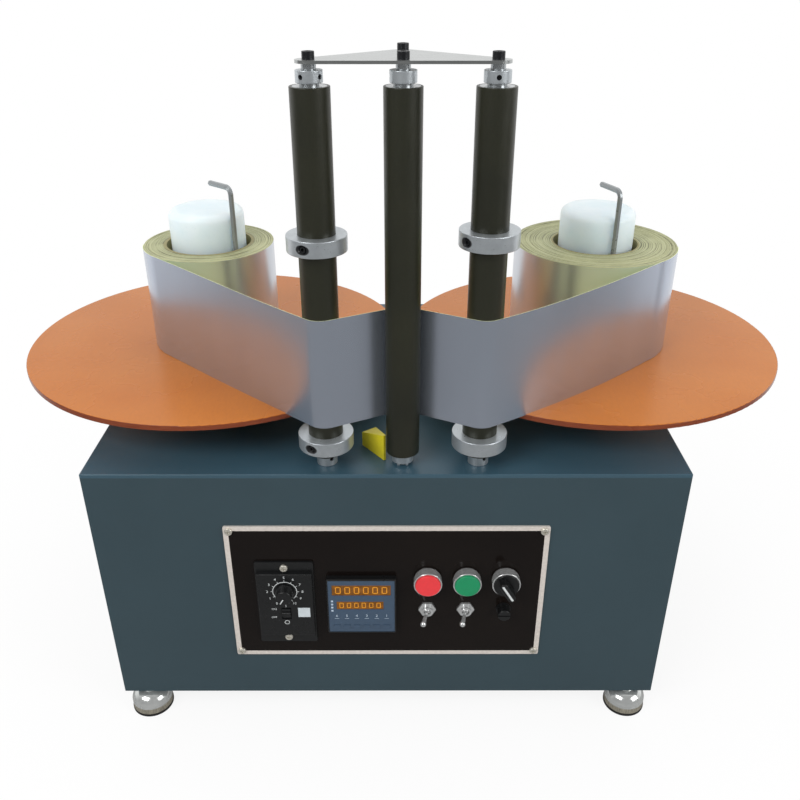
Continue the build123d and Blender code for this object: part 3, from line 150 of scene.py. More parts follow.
class Look(Graph):
    """A procedural material on the Principled shader."""

    def __init__(self, name, color, roughness, metallic=0.0, **sockets):
        self.mat = bpy.data.materials.new(name)
        self.mat.use_nodes = True
        super().__init__(self.mat.node_tree)
        self.bsdf = self.nodes["Principled BSDF"]
        self.set("Base Color", color)
        self.set("Roughness", roughness)
        self.set("Metallic", metallic)
        for key, value in sockets.items():
            self.set(key.replace("_", " "), value)
        self.place = self.nodes.new("ShaderNodeTexCoord").outputs["Object"]

    def set(self, socket, value):
        self.feed(self.bsdf.inputs[socket], value)

    def stretch(self, scale, origin=(0, 0, 0)):
        """The surface's place, measured from an origin and scaled along each axis."""
        moved = self.node("ShaderNodeVectorMath", {0: self.place, 1: origin}, operation="SUBTRACT")
        inputs = {0: moved.outputs[0], 1: scale}
        return self.node("ShaderNodeVectorMath", inputs, operation="MULTIPLY").outputs[0]

    def noise(self, scale, detail=2.0, rough=0.5, stretch=(1, 1, 1)):
        return self.node("ShaderNodeTexNoise", {
            "Vector": self.stretch(stretch), "Scale": scale, "Detail": detail,
            "Roughness": rough}).outputs["Fac"]

    def facing_up(self):
        geometry = self.node("ShaderNodeNewGeometry")
        return self.axis("Z", geometry.outputs["Normal"])

    def bump(self, height, distance, strength=1.0):
        inputs = {"Height": height, "Distance": distance, "Strength": strength}
        self.set("Normal", self.node("ShaderNodeBump", inputs).outputs["Normal"])

    def worn(self, color, other, scale, amount=1.0, detail=4.0, stretch=(1, 1, 1)):
        """Mottles color towards other."""
        factor = self.spread(self.noise(scale, detail, 0.6, stretch), 0.0, amount)
        return self.mix(factor, color, other)

    def vary_roughness(self, base, amount, scale, stretch=(1, 1, 1)):
        factor = self.noise(scale, 3, 0.6, stretch)
        self.set("Roughness", self.spread(factor, base - amount, base + amount))


def paint(name, color, roughness, grain=900.0, depth=0.00006):
    """Powder-coated sheet: a fine orange peel with slight mottling."""
    look = Look(name, color, roughness)
    fine = look.worn(color, shade(color, 1.10), 2600, 0.7, 1)
    cloud = look.spread(look.noise(7, 4, 0.6), 0, 0.6)
    look.set("Base Color", look.mix(cloud, fine, shade(color, 0.86)))
    look.vary_roughness(roughness, 0.05, 60)
    look.bump(look.noise(grain, 2, 0.5), depth)
    return look


def turned_metal(name, color, roughness, metallic=1.0, lines=5200.0, depth=0.000012):
    """Metal turned on a lathe about an upright axis: fine rings and a little staining."""
    look = Look(name, color, roughness, metallic)
    look.set("Base Color", look.worn(color, shade(color, 0.8), 130, 0.5))
    look.vary_roughness(roughness, 0.07, 260, (1, 1, 6))
    look.bump(look.noise(lines, 1, 0.5, (0.01, 0.01, 1)), depth)
    return look


def brushed_metal(name, color, roughness, stretch=(0.02, 1, 1), depth=0.000012):
    """Flat metal with a straight fine grain."""
    look = Look(name, color, roughness, 1.0)
    look.set("Base Color", look.worn(color, shade(color, 0.82), 90, 0.5))
    look.vary_roughness(roughness, 0.08, 2400, stretch)
    look.bump(look.noise(3800, 2, 0.5, stretch), depth)
    return look


def plastic(name, color, roughness, grain=1800.0, depth=0.00001, **sockets):
    """Moulded plastic: a faint grain, with dust and handling in the gloss."""
    look = Look(name, color, roughness, **sockets)
    look.set("Base Color", look.worn(color, shade(color, 0.85, 0.004), 240, 0.6))
    look.vary_roughness(roughness, 0.05, 90)
    look.bump(look.noise(grain, 2, 0.5), depth)
    return look


def phenolic(name):
    """Phenolic laminate: paper fibre under a satin surface, with painted shade: the upright sides
    darker, the underside a dark brown.
    """
    look = Look(name, srgb(188, 112, 40), 0.32, Specular_IOR_Level=0.35)
    sheet = look.worn(srgb(188, 106, 24), srgb(198, 118, 40), 9, 0.8, 1)
    fibre = look.spread(look.noise(500, 2, 0.6, (1, 0.35, 1)), 0, 0.16)
    sheet = look.mix(fibre, sheet, srgb(150, 88, 38))
    top = look.spread(look.facing_up(), 0.0, 1.0, 0.55, 0.9)
    # mask of downward faces, which get the painted shade of the underside
    underside_shade_mask = look.spread(look.facing_up(), 0.0, 1.0, -0.9, -0.55)
    layers = look.spread(look.noise(60, 3, 0.6, (1, 1, 40)), 0.0, 1.0)
    # painted shade under the disc: a mottled dark brown for the downward faces
    rim = look.mix(layers, srgb(104, 44, 24), srgb(132, 66, 36))
    # painted shade on the upright sides: the sheet's own colour darkened
    sheet_in_painted_shade = look.mix(0.35, sheet, srgb(120, 70, 40))
    color = look.mix(top, look.mix(underside_shade_mask, sheet_in_painted_shade, rim), sheet)
    look.set("Base Color", color)
    look.vary_roughness(0.27, 0.03, 12)
    look.bump(look.noise(420, 1, 0.5), 0.000003)
    return look


def nylon(name):
    """White nylon: milky, lit a little from inside, with faint turning marks."""
    look = Look(name, srgb(215, 230, 236), 0.5, Subsurface_Weight=0.8, Subsurface_Scale=0.03)
    look.bsdf.inputs["Subsurface Radius"].default_value = (1.0, 1.05, 1.15)
    cloud = look.worn(srgb(216, 230, 235), srgb(226, 235, 239), 38, 0.9, 5)
    mark = look.spread(look.noise(160, 4, 0.7), 0, 0.25, 0.62, 0.75)
    look.set("Base Color", look.mix(mark, cloud, srgb(182, 198, 208)))
    look.vary_roughness(0.42, 0.06, 120)
    look.bump(look.noise(2600, 1, 0.5, (0.02, 0.02, 1)), 0.00002)
    return look


def wound(name, side, colour_a, colour_b, dark):
    """Edge of wound layers: uneven rings about the reel's axis."""
    look = Look(name, colour_a, 0.6)
    reel = REELS[side]
    drift = look.math("MULTIPLY", look.noise(26, 3, 0.6), LAYER_DRIFT)
    away = look.length(look.stretch((1, 1, 0), (reel.x, reel.y, 0)))
    line = look.node("ShaderNodeCombineXYZ", {0: look.math("ADD", away, drift)}).outputs[0]
    ring, wide, seam = [look.node("ShaderNodeTexNoise", {
        "Vector": line, "Scale": scale, "Detail": detail, "Roughness": 0.7}).outputs["Fac"]
        for scale, detail in ((1500.0, 3.0), (260.0, 2.0), (520.0, 1.0))]
    patch = look.spread(look.noise(42, 3, 0.6), 0.2, 1.0, 0.35, 0.55)
    color = look.mix(look.spread(ring, 0, 1, 0.35, 0.65), colour_a, colour_b)
    color = look.mix(look.spread(wide, 0, 0.5, 0.4, 0.7), color, colour_b)
    thin = look.math("MULTIPLY", look.spread(seam, 0.0, 0.95, 0.52, 0.58), patch)
    color = look.mix(thin, color, dark)
    look.set("Base Color", look.mix(look.spread(look.noise(30, 3), 0, 0.3), color, colour_a))
    look.bump(ring, 0.0003, 0.6)
    return look


def film(name, color, roughness, metallic):
    """Metallised film: a blurred mirror with a faint upright grain."""
    look = Look(name, color, roughness, metallic)
    look.set("Base Color", look.worn(color, shade(color, 0.9), 24, 0.5, 3, (1, 1, 0.3)))
    look.vary_roughness(roughness, 0.02, 60, (1, 1, 0.2))
    look.bump(look.noise(160, 1, 0.5, (1, 1, 0.02)), 0.000002, 0.5)
    return look


def liner(name):
    """Yellow backing paper of the web, with a faint painted glow that brightens it where it lies in
    shade.
    """
    # painted light: a faint emission lights the backing in the shade between web and roll
    look = Look(name, srgb(214, 218, 158), 0.35,
                Emission_Color=srgb(206, 216, 150), Emission_Strength=0.28)
    look.set("Base Color", look.worn(srgb(222, 228, 166), srgb(232, 235, 184), 40, 0.9))
    look.vary_roughness(0.34, 0.06, 80)
    look.bump(look.noise(1100, 2, 0.5), 0.00001)
    return look


def clamp_ring(name, node, heading):
    """Satin aluminium collar with a dark clamp screw in its rim, seen at a heading from above."""
    look = turned_metal(name, SATIN, 0.34, metallic=SATIN_METAL)
    mid, reach, a = centre(node), half_width(node), radians(heading)
    spot = look.stretch((1 / CLAMP_WIDE, 1 / CLAMP_WIDE, 1 / CLAMP_HIGH),
                        (mid.x + reach * cos(a), mid.y + reach * sin(a), mid.z))
    dark = look.spread(look.length(spot), 1.0, 0.0, 0.9, 1.05)
    metal = look.worn(SATIN, SATIN_STAIN, 130, 0.5)
    look.set("Base Color", look.mix(dark, metal, CLAMP_DARK))
    look.set("Metallic", look.math("MULTIPLY", look.math("SUBTRACT", 1.0, dark), SATIN_METAL))
    return look


def anodised(name):
    """Dark olive-bronze hard-anodised tube, with a fine speckle."""
    look = Look(name, srgb(38, 41, 31), 0.36, 0.3)
    base = look.worn(srgb(36, 38, 29), srgb(55, 54, 38), 1900, 0.9, 2)
    look.set("Base Color", look.mix(look.spread(look.noise(11, 3), 0, 0.5), base, srgb(27, 29, 25)))
    look.vary_roughness(0.36, 0.06, 500, (1, 1, 0.2))
    look.bump(look.noise(2400, 2, 0.6), 0.00002)
    return look


def panel_film(name):
    """Glossy brown-black film with a pale metallic border printed round it."""
    look = Look(name, srgb(21, 16, 14), 0.13, Specular_IOR_Level=0.2)
    mid = centre("control_panel")
    half = (high("control_panel") - low("control_panel")) / 2
    place = look.stretch((1, 1, 1), mid)
    across = look.math("ABSOLUTE", look.axis("X", place))
    upright = look.math("ABSOLUTE", look.axis("Z", place))
    mask = look.math("MAXIMUM", look.math("GREATER_THAN", across, half.x - PANEL_BORDER),
                     look.math("GREATER_THAN", upright, half.z - PANEL_BORDER))
    dark = look.worn(srgb(16, 12, 11), srgb(23, 18, 15), 6, 0.8, 4)
    pale = look.worn(srgb(214, 206, 198), srgb(232, 224, 216), 300, 0.8, 3)
    look.set("Base Color", look.mix(mask, dark, pale))
    look.set("Roughness", look.math("ADD", look.math("MULTIPLY", mask, 0.22),
                                    look.spread(look.noise(45, 3), 0.10, 0.17)))
    look.set("Metallic", look.math("MULTIPLY", mask, 0.35))
    look.bump(look.noise(700, 2, 0.5), 0.000004)
    return look


def levelling_foot(name):
    """By height: black rubber pad, beige knurled band, then the plated dome."""
    look = Look(name, srgb(204, 205, 202), 0.14, 1.0)
    z = look.axis("Z", look.place)
    band = look.math("LESS_THAN", z, BAND_TOP)
    pad = look.math("LESS_THAN", z, PAD_TOP)
    beige = look.worn(srgb(150, 144, 128), srgb(108, 104, 94), 900, 1.0, 2, (1, 1, 0.1))
    dome = look.worn(srgb(226, 228, 226), srgb(204, 207, 206), 60, 0.7)
    rubber = look.worn(srgb(20, 20, 21), srgb(32, 32, 33), 300, 0.8)
    look.set("Base Color", look.mix(pad, look.mix(band, dome, beige), rubber))
    look.set("Metallic", look.math("SUBTRACT", FOOT_METAL, look.math("MULTIPLY", band, BAND_DULL)))
    look.set("Roughness", look.math("ADD", look.math("MULTIPLY", band, 0.4),
                                    look.spread(look.noise(140, 3), 0.1, 0.18)))
    look.bump(look.noise(1500, 1, 0.5, (1, 1, 0.06)), 0.00002)
    return look


def display(name, glass, lit):
    """Tinted display window, mottled towards a lighter tone and faintly emitting."""
    look = Look(name, glass, 0.15)
    look.set("Base Color", look.worn(glass, lit, 180, 0.8, 2))
    look.vary_roughness(0.15, 0.04, 90)
    look.set("Emission Color", lit)
    look.set("Emission Strength", 0.12)
    return look


LOOKS = {
    "cabinet": paint("cabinet_paint_look", srgb(46, 66, 74), 0.42),
    "deck": paint("deck_paint_look", srgb(52, 80, 94), 0.36),
    "nylon": nylon("nylon_look"),
    "tube": anodised("anodised_look"),
    "satin": turned_metal("satin_aluminium_look", SATIN, 0.34, metallic=SATIN_METAL),
    "key": plastic("key_steel_look", srgb(150, 155, 157), 0.3, 2600, 0.000004, metallic=0.5),
    "steel": turned_metal("bright_steel_look", srgb(178, 182, 184), 0.24,
                          metallic=0.85, lines=3600.0),
    "plate": brushed_metal("plate_steel_look", srgb(186, 189, 188), 0.3),
    "black_screw": plastic("black_screw_look", srgb(34, 35, 38), 0.38, 2600, 0.00002,
                           metallic=0.6),
    "bright_screw": turned_metal("nickel_look", srgb(222, 218, 206), 0.3, metallic=0.7),
    "housing": turned_metal("housing_look", srgb(160, 163, 166), 0.4),
    "motor": paint("motor_paint_look", srgb(60, 63, 66), 0.45),
    "yellow": plastic("sensor_yellow_look", srgb(214, 200, 40), 0.4),
    "panel": panel_film("panel_look"),
    "black": plastic("black_plastic_look", srgb(17, 18, 19), 0.3),
    "counter": plastic("counter_film_look", srgb(60, 78, 98), 0.22, 1500, 0.000004),
    "chrome": turned_metal("chrome_look", srgb(226, 227, 227), 0.17,
                           metallic=0.75, depth=0.000003),
    "red": plastic("stop_red_look", srgb(226, 50, 56), 0.36, 500, 0.000002),
    "green": plastic("start_green_look", srgb(0, 138, 88), 0.36, 500, 0.000002),
    "foot": levelling_foot("foot_look"),
    "amber": display("amber_window_look", srgb(88, 54, 14), srgb(134, 82, 20)),
    "digit": display("amber_digit_look", srgb(196, 126, 26), srgb(222, 150, 40)),
    "print": plastic("white_print_look", srgb(200, 204, 204), 0.4, 900, 0.000002),
    "mark": plastic("blue_print_look", srgb(176, 192, 208), 0.4, 900, 0.000002),
    "sticker": plastic("sticker_look", srgb(196, 204, 208), 0.45, 900, 0.000004),
    "web": film("web_film_look", srgb(188, 196, 210), 0.25, 0.84),
    # painted light: the roll's outer layer is the web's own film, made lighter to brighten the
    # roll's wall in the shade of the web
    "roll": film("roll_film_painted_lighter_look", srgb(208, 214, 222), 0.3, 0.84),
    "liner": liner("liner_look"),
}
FINISH = {
    "cabinet": ("cabinet_front", "cabinet_sides", "rear_cover", "base_plate"),
    "deck": ("cabinet_deck",),
    "bright_screw": ("cover_screws", "panel_screws", "post_nuts"),
    "black": ("cable_gland", "speed_controller", "speed_knob", "run_stop_switch", "counter_case",
              "selector_knob", "fuse_holder"),
    "housing": ("bearing_housings",),
    "black_screw": ("housing_bolts", "collar_screws", "top_bolts"),
    "steel": ("bearings", "motor_standoffs", "posts", "left_spindle", "right_spindle"),
    "key": ("left_lock_pin", "right_lock_pin"),
    "motor": ("gearmotors",),
    "satin": ("shaft_collars", "pulse_wheel"),
    "plate": ("top_plate",),
    "yellow": ("pulse_sensor",),
    "panel": ("control_panel",),
    "counter": ("counter_face",),
    "chrome": ("button_bezels", "selector_bezel", "toggle_bodies", "left_toggle_lever",
               "right_toggle_lever"),
    "red": ("stop_button_cap",),
    "green": ("start_button_cap",),
    "tube": ("left_roller_tube", "centre_roller_tube", "right_roller_tube"),
    "nylon": ("left_chuck", "right_chuck"),
    "foot": ("front_left_foot", "front_right_foot", "rear_left_foot", "rear_right_foot"),
}
WOUND_COLOURS = srgb(206, 208, 166), srgb(150, 150, 108), srgb(76, 76, 48)
CORE_COLOURS = srgb(166, 158, 112), srgb(138, 130, 88), srgb(84, 80, 52)


def finish(node, look):
    """Gives a CAD node its look."""
    NODES[node].data.materials.clear()
    NODES[node].data.materials.append(look.mat)


for key, names in FINISH.items():
    for name in names:
        finish(name, LOOKS[key])
for side in REELS:
    LOOKS[f"{side}_wound"] = wound(f"{side}_wound_look", side, *WOUND_COLOURS)
    finish(f"{side}_disc", phenolic(f"{side}_phenolic_look"))
    finish(f"{side}_core", wound(f"{side}_core_look", side, *CORE_COLOURS))
    finish(f"{side}_label_roll", LOOKS[f"{side}_wound"])
for collar, heading in CLAMP_HEADINGS.items():
    node = f"{collar}_collar"
    finish(node, clamp_ring(f"{node}_look", node, heading))


# ---------------------------------------------------------------- mesh helpers
def piece(name, bm, looks, body, nodes=(), sharp=35.0):
    """Makes a finished object of a bmesh, riding on a body, smooth below the sharp angle."""
    bmesh.ops.recalc_face_normals(bm, faces=bm.faces)
    mesh = bpy.data.meshes.new(name)
    bm.to_mesh(mesh)
    bm.free()
    for look in looks:
        mesh.materials.append(look.mat)
    mesh.polygons.foreach_set("use_smooth", [True] * len(mesh.polygons))
    mesh.set_sharp_from_angle(angle=radians(sharp))
    obj = bpy.data.objects.new(name, mesh)
    scene.collection.objects.link(obj)
    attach(obj, body)
    if nodes:
        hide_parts(*nodes)
    return obj


def revolve(bm, profile, at, steps, material):
    """Turns (radius, height) points about an upright axis."""
    turns = [2 * pi * i / steps for i in range(steps)]
    rings = [[bm.verts.new((at.x + radius * cos(a), at.y + radius * sin(a), height))
              for a in turns] for radius, height in profile]
    for a, b in zip(rings, rings[1:]):
        for i in range(steps):
            j = (i + 1) % steps
            bm.faces.new((a[i], a[j], b[j], b[i])).material_index = material


# ---------------------------------------------------------------- the web
WEB_BASE, WEB_TOP = low("label_web").z, high("label_web").z
WEB_T = 0.0004
WEB_LIFT = 0.00055          # middle of the film off the roll or roller that it runs on
BASE_DIP, TOP_DIP = 0.0013, 0.0050      # how far the two edges fall from the rolls to the rollers
WRAP = radians(40)          # how far the web follows each roll past where it leaves it
WEB_BOWS = (-0.0010, 0.0, 0.0, -0.0060)     # slack of each run, to one side of a straight line
WEB_FALLS = (lambda t: t, lambda t: 1.0, lambda t: 1.0, lambda t: 1 - t)
WEB_STEP, WEB_ROWS, WEB_SHARP = 0.004, 28, 60


def on_round(middle, radius, angle):
    """Point of a round guide in plan, opposite to an angle."""
    return Vector((middle.x - radius * cos(angle), middle.y - radius * sin(angle)))


def wrapped(middle, radius, leaves, turn):
    """Points on a roll from a turn away up to where the web leaves it."""
    count = int(abs(turn) * radius / WEB_STEP)
    return [(on_round(middle, radius, leaves + turn * (1 - i / count)), 0.0) for i in range(count)]


def web_line():
    """Middle line of the web in plan, with the share of its fall at each point."""
    guides = [(REELS["left"], ROLL_R["left"] + WEB_LIFT)]
    for side, sign in (("left", 1), ("centre", -1), ("right", 1)):
        guides.append((ROLLERS[side], sign * (half_width(f"{side}_roller_tube") + WEB_LIFT)))
    guides.append((REELS["right"], ROLL_R["right"] + WEB_LIFT))
    line, arrive = [], None
    for leg, ((c1, r1), (c2, r2)) in enumerate(zip(guides, guides[1:])):
        dx, dy = c2.x - c1.x, c2.y - c1.y
        normal = atan2(dy, dx) + acos((r2 - r1) / hypot(dx, dy))
        start, end = on_round(c1, r1, normal), on_round(c2, r2, normal)
        if arrive is not None:
            count = max(4, int(abs(normal - arrive) * abs(r1) / WEB_STEP) * 2)
            for i in range(1, count):
                line.append((on_round(c1, r1, arrive + (normal - arrive) * i / count), 1.0))
        run = end - start
        side = Vector((run.y, -run.x)).normalized()
        if leg == 0:
            line += wrapped(c1, r1, normal, -WRAP)
        count = max(6, int(run.length / WEB_STEP))
        for i in range(count + 1):
            t = i / count
            bow = -WEB_BOWS[leg] * 4 * t * (1 - t)
            line.append((start + run * t + side * bow, WEB_FALLS[leg](t)))
        arrive = normal
    line += reversed(wrapped(c2, r2, normal, WRAP))
    return line


def label_web():
    """Two-sided film from roll to roll, shiny outside with its backing inside."""
    line = web_line()
    bm = bmesh.new()
    faces = []
    for offset in (WEB_T / 2, -WEB_T / 2):
        grid = []
        for i, (point, share) in enumerate(line):
            ahead = line[min(i + 1, len(line) - 1)][0] - line[max(i - 1, 0)][0]
            side = Vector((-ahead.y, ahead.x)).normalized()
            fall = share * share * (3 - 2 * share)      # eased at both ends
            bottom, top = WEB_BASE - BASE_DIP * fall, WEB_TOP - TOP_DIP * fall
            at = point + side * offset
            grid.append([bm.verts.new((at.x, at.y, bottom + (top - bottom) * k / WEB_ROWS))
                         for k in range(WEB_ROWS + 1)])
        faces.append(grid)
    left, right = faces
    for index, grid in ((1, left), (0, right)):
        for a, b in zip(grid, grid[1:]):
            for k in range(WEB_ROWS):
                bm.faces.new((a[k], b[k], b[k + 1], a[k + 1])).material_index = index
    for a, b, c, d in zip(left, left[1:], right[1:], right):
        for k in (0, WEB_ROWS):
            bm.faces.new((a[k], b[k], c[k], d[k])).material_index = 1
    for k in range(WEB_ROWS):
        for a, b in ((left[0], right[0]), (left[-1], right[-1])):
            bm.faces.new((a[k], a[k + 1], b[k + 1], b[k])).material_index = 1
    piece("web_strip", bm, [LOOKS["web"], LOOKS["liner"]], "cabinet",
          ["label_web"], WEB_SHARP)


label_web()


# ---------------------------------------------------------------- label rolls
ROLL_STEPS, ROLL_SHARP = 192, 30
WELD = 1e-6
CORE_FIT = 0.00002
FOOT_EASE, RIM_EASE = 0.0003, 0.0002
LAYERS_W = 0.0006, 0.0016   # thinnest and thickest group of layers at one level
LAYER_DROPS = 0.0, 0.0001, 0.0002, 0.0004
SLIPPED_DROP, SLIPPED_SHARE = 0.0009, 0.10
LAYER_SEAM = 0.00012
LAST_LAYERS, CORE_MARGIN = 0.0012, 0.0005


def label_roll(side, seed):
    """Wound roll: its edge steps up and down from layer to layer."""
    draw = random.Random(seed)
    reel, outer = REELS[side], ROLL_R[side]
    node = f"{side}_label_roll"
    inner = half_width(f"{side}_core") + CORE_FIT
    base, top = low(node).z, high(node).z
    bm = bmesh.new()
    profile = [(outer, base + FOOT_EASE), (outer, top - RIM_EASE)]
    radius, level = outer - RIM_EASE, top
    while radius > inner + LAST_LAYERS:
        width = draw.uniform(*LAYERS_W)
        level = top - draw.choice(LAYER_DROPS)
        level -= SLIPPED_DROP if draw.random() < SLIPPED_SHARE else 0.0
        profile.append((radius, level))
        radius -= width
        profile.append((max(radius, inner + CORE_MARGIN), level))
        radius -= LAYER_SEAM
    profile.append((inner, level))
    profile.append((inner, base))
    revolve(bm, profile[:2], reel, ROLL_STEPS, 0)
    revolve(bm, profile[1:] + [profile[0]], reel, ROLL_STEPS, 1)
    bmesh.ops.remove_doubles(bm, verts=bm.verts, dist=WELD)
    looks = [LOOKS["roll"], LOOKS[f"{side}_wound"]]
    piece(f"{side}_roll", bm, looks, f"{side}_reel", [node], ROLL_SHARP)


label_roll("left", 3)
label_roll("right", 8)


# ---------------------------------------------------------------- print on the controls
PRINT_T = 0.00012
PRINT_SHARP = 30.0
SPEED = centre("speed_controller")
SPEED_FRONT = low("speed_controller").y - PRINT_T
KNOB = centre("speed_knob")
COUNTER = centre("counter_face")
KEY_PROUD = 0.0006
COUNTER_FRONT = low("counter_face").y + KEY_PROUD

DIAL_R, DIAL_W, DIAL_END, DIAL_STEPS = 0.0124, 0.0008, 135, 48
TICK_R, TICK_W, TICK_H = 0.0138, 0.0005, 0.0018
FIGURE_R, FIGURE_H = 0.0182, 0.0044
FIGURE_TURNS = [-150 + 30 * i for i in range(11)]       # degrees clockwise from straight up
OFF_RING_R, OFF_RING_W, OFF_RING_DROP, OFF_RING_STEPS = 0.0024, 0.0006, 0.0225, 32
ROCKER_WORDS = (            # word, across from the rocker, up from the controller's middle, height
    ("I", 0.0, -0.0002, 0.0052),
    ("ON", -0.0125, -0.0045, 0.0034),
    ("OFF", -0.0130, -0.0155, 0.0034),
)
STICKER_SIDE, STICKER_X, STICKER_Z = 0.0125, 0.0185, -0.0090
KNOB_LINE_W, KNOB_LINE_L, KNOB_LINE_R = 0.0010, 0.0065, 0.0045
SELECTOR_LINE_W, SELECTOR_LINE_L, SELECTOR_LEAN = 0.0022, 0.0210, -31

WINDOW_RISE, GLASS_T = 0.0003, 0.0004
WINDOWS = (                 # width, height, across and up from the face's middle, height of a digit
    (0.0606, 0.0131, 0.0, 0.0215, 0.0088),
    (0.0486, 0.0101, -0.0015, 0.0015, 0.0068),
)
DIGITS = 6
DIGIT_PITCH = 0.158         # of the window's width
DIGIT_HALF, STROKE = 0.27, 0.11     # half width and stroke, of the digit's height
BAR_CUT = 0.6               # of a stroke, off the length of an upright bar
NOUGHT = (                  # bars of a nought: across, up, and whether it lies level
    (0, 1, True), (-1, 0.5, False), (1, 0.5, False),
    (-1, -0.5, False), (1, -0.5, False), (0, -1, True),
)
KEY_PITCH, KEYS_X = 0.0104, -0.0260
KEY_FIGURE_H, KEY_FIGURE_Z = 0.0046, -0.0125
KEY_RULE_W, KEY_RULE_H, KEY_RULE_Z = 0.0046, 0.0003, -0.0161
LAMPS, LAMP_SIDE, LAMP_X, LAMP_TOP, LAMP_PITCH = 4, 0.0022, -0.0305, 0.0072, 0.0042


def slab(bm, x, z, width, height, y, depth=PRINT_T, turn=0.0):
    """Upright box facing the front, its front face at y, turned by an angle in its own plane."""
    size = Matrix.Diagonal((width, depth, height, 1))
    place = Matrix.Translation((x, y + depth / 2, z)) @ Matrix.Rotation(turn, 4, "Y")
    bmesh.ops.create_cube(bm, size=1.0, matrix=place @ size)


def letters(bm, text, x, z, height, y):
    """Printed characters centred on a point of the front."""
    curve = bpy.data.curves.new("text", "FONT")
    curve.body, curve.size, curve.align_x, curve.align_y = text, height, "CENTER", "CENTER"
    curve.extrude, curve.resolution_u = PRINT_T / 2, 2
    obj = bpy.data.objects.new("text", curve)
    scene.collection.objects.link(obj)
    flat = obj.evaluated_get(bpy.context.evaluated_depsgraph_get())
    mesh = bpy.data.meshes.new_from_object(flat)
    mesh.transform(Matrix.Translation((x, y, z)) @ Matrix.Rotation(radians(90), 4, "X"))
    bm.from_mesh(mesh)
    bpy.data.objects.remove(obj)
    bpy.data.curves.remove(curve)
    bpy.data.meshes.remove(mesh)


def arc(bm, x, z, radius, width, start, end, y, steps):
    """Part of a ring on the front, between two angles in degrees clockwise from straight up."""
    inside, outside, back = radius - width / 2, radius + width / 2, y + PRINT_T
    rows = []
    for i in range(steps + 1):
        a = radians(start + (end - start) * i / steps)
        rows.append([bm.verts.new((x + r * sin(a), depth, z + r * cos(a)))
                     for r, depth in ((inside, y), (outside, y), (outside, back), (inside, back))])
    for a, b in zip(rows, rows[1:]):
        for k in range(4):
            bm.faces.new((a[k], a[(k + 1) % 4], b[(k + 1) % 4], b[k]))
    bm.faces.new(rows[0])
    bm.faces.new(rows[-1])


def printed(name, bm, look, body):
    piece(name, bm, [LOOKS[look]], body, sharp=PRINT_SHARP)


def speed_print():
    """Dial of 0 to 10 round the knob, and the rocker's marks."""
    bm = bmesh.new()
    arc(bm, KNOB.x, KNOB.z, DIAL_R, DIAL_W, -DIAL_END, DIAL_END, SPEED_FRONT, DIAL_STEPS)
    for figure, turn in enumerate(FIGURE_TURNS):
        a = radians(turn)
        across, up = sin(a), cos(a)
        slab(bm, KNOB.x + TICK_R * across, KNOB.z + TICK_R * up, TICK_W, TICK_H,
             SPEED_FRONT, turn=a)
        letters(bm, str(figure), KNOB.x + FIGURE_R * across, KNOB.z + FIGURE_R * up,
                FIGURE_H, SPEED_FRONT)
    rocker = centre("run_stop_switch")
    arc(bm, rocker.x, SPEED.z - OFF_RING_DROP, OFF_RING_R, OFF_RING_W, 0, 360,
        SPEED_FRONT, OFF_RING_STEPS)
    for word, across, up, height in ROCKER_WORDS:
        letters(bm, word, rocker.x + across, SPEED.z + up, height, SPEED_FRONT)
    printed("speed_print", bm, "print", "cabinet")


def speed_sticker():
    bm = bmesh.new()
    slab(bm, SPEED.x + STICKER_X, SPEED.z + STICKER_Z, STICKER_SIDE, STICKER_SIDE, SPEED_FRONT)
    printed("speed_sticker", bm, "sticker", "cabinet")


def knob_line():
    """White line on the speed knob, pointing at nought."""
    bm = bmesh.new()
    a = radians(FIGURE_TURNS[0])
    slab(bm, KNOB.x + KNOB_LINE_R * sin(a), KNOB.z + KNOB_LINE_R * cos(a), KNOB_LINE_W, KNOB_LINE_L,
         low("speed_knob").y - PRINT_T, turn=a)
    printed("knob_line", bm, "print", "speed_dial")


def counter_display():
    """Two windows of digits, all of them noughts."""
    glass, digits = bmesh.new(), bmesh.new()
    y = COUNTER_FRONT + WINDOW_RISE
    for width, height, across, up, size in WINDOWS:
        x, z = COUNTER.x + across, COUNTER.z + up
        slab(glass, x, z, width, height, y, GLASS_T)
        half, thick = size * DIGIT_HALF, size * STROKE
        for i in range(DIGITS):
            digit_x = x + (i - (DIGITS - 1) / 2) * width * DIGIT_PITCH
            for bar_x, bar_z, level in NOUGHT:
                w, h = (2 * half - thick, thick) if level else (thick, size / 2 - thick * BAR_CUT)
                bar_x, bar_z = digit_x + bar_x * half, z + bar_z * (size / 2 - thick / 2)
                slab(digits, bar_x, bar_z, w, h, y - PRINT_T)
    printed("counter_glass", glass, "amber", "cabinet")
    printed("counter_digits", digits, "digit", "cabinet")


def counter_print():
    """Figures and rules over the keys, and the marks of four lamps."""
    bm = bmesh.new()
    y = COUNTER_FRONT - PRINT_T
    for i in range(DIGITS):
        x = COUNTER.x + KEYS_X + KEY_PITCH * i
        letters(bm, str(DIGITS - i), x, COUNTER.z + KEY_FIGURE_Z, KEY_FIGURE_H, y)
        slab(bm, x, COUNTER.z + KEY_RULE_Z, KEY_RULE_W, KEY_RULE_H, y)
    for i in range(LAMPS):
        slab(bm, COUNTER.x + LAMP_X, COUNTER.z + LAMP_TOP - LAMP_PITCH * i, LAMP_SIDE, LAMP_SIDE, y)
    printed("counter_print", bm, "mark", "cabinet")


def selector_line():
    """White line along the front of the handle."""
    bm = bmesh.new()
    knob = centre("selector_knob")
    slab(bm, knob.x, knob.z, SELECTOR_LINE_W, SELECTOR_LINE_L, low("selector_knob").y - PRINT_T,
         PRINT_T * 2, radians(SELECTOR_LEAN))
    printed("selector_line", bm, "print", "selector")


speed_print()
speed_sticker()
knob_line()
counter_display()
counter_print()
selector_line()


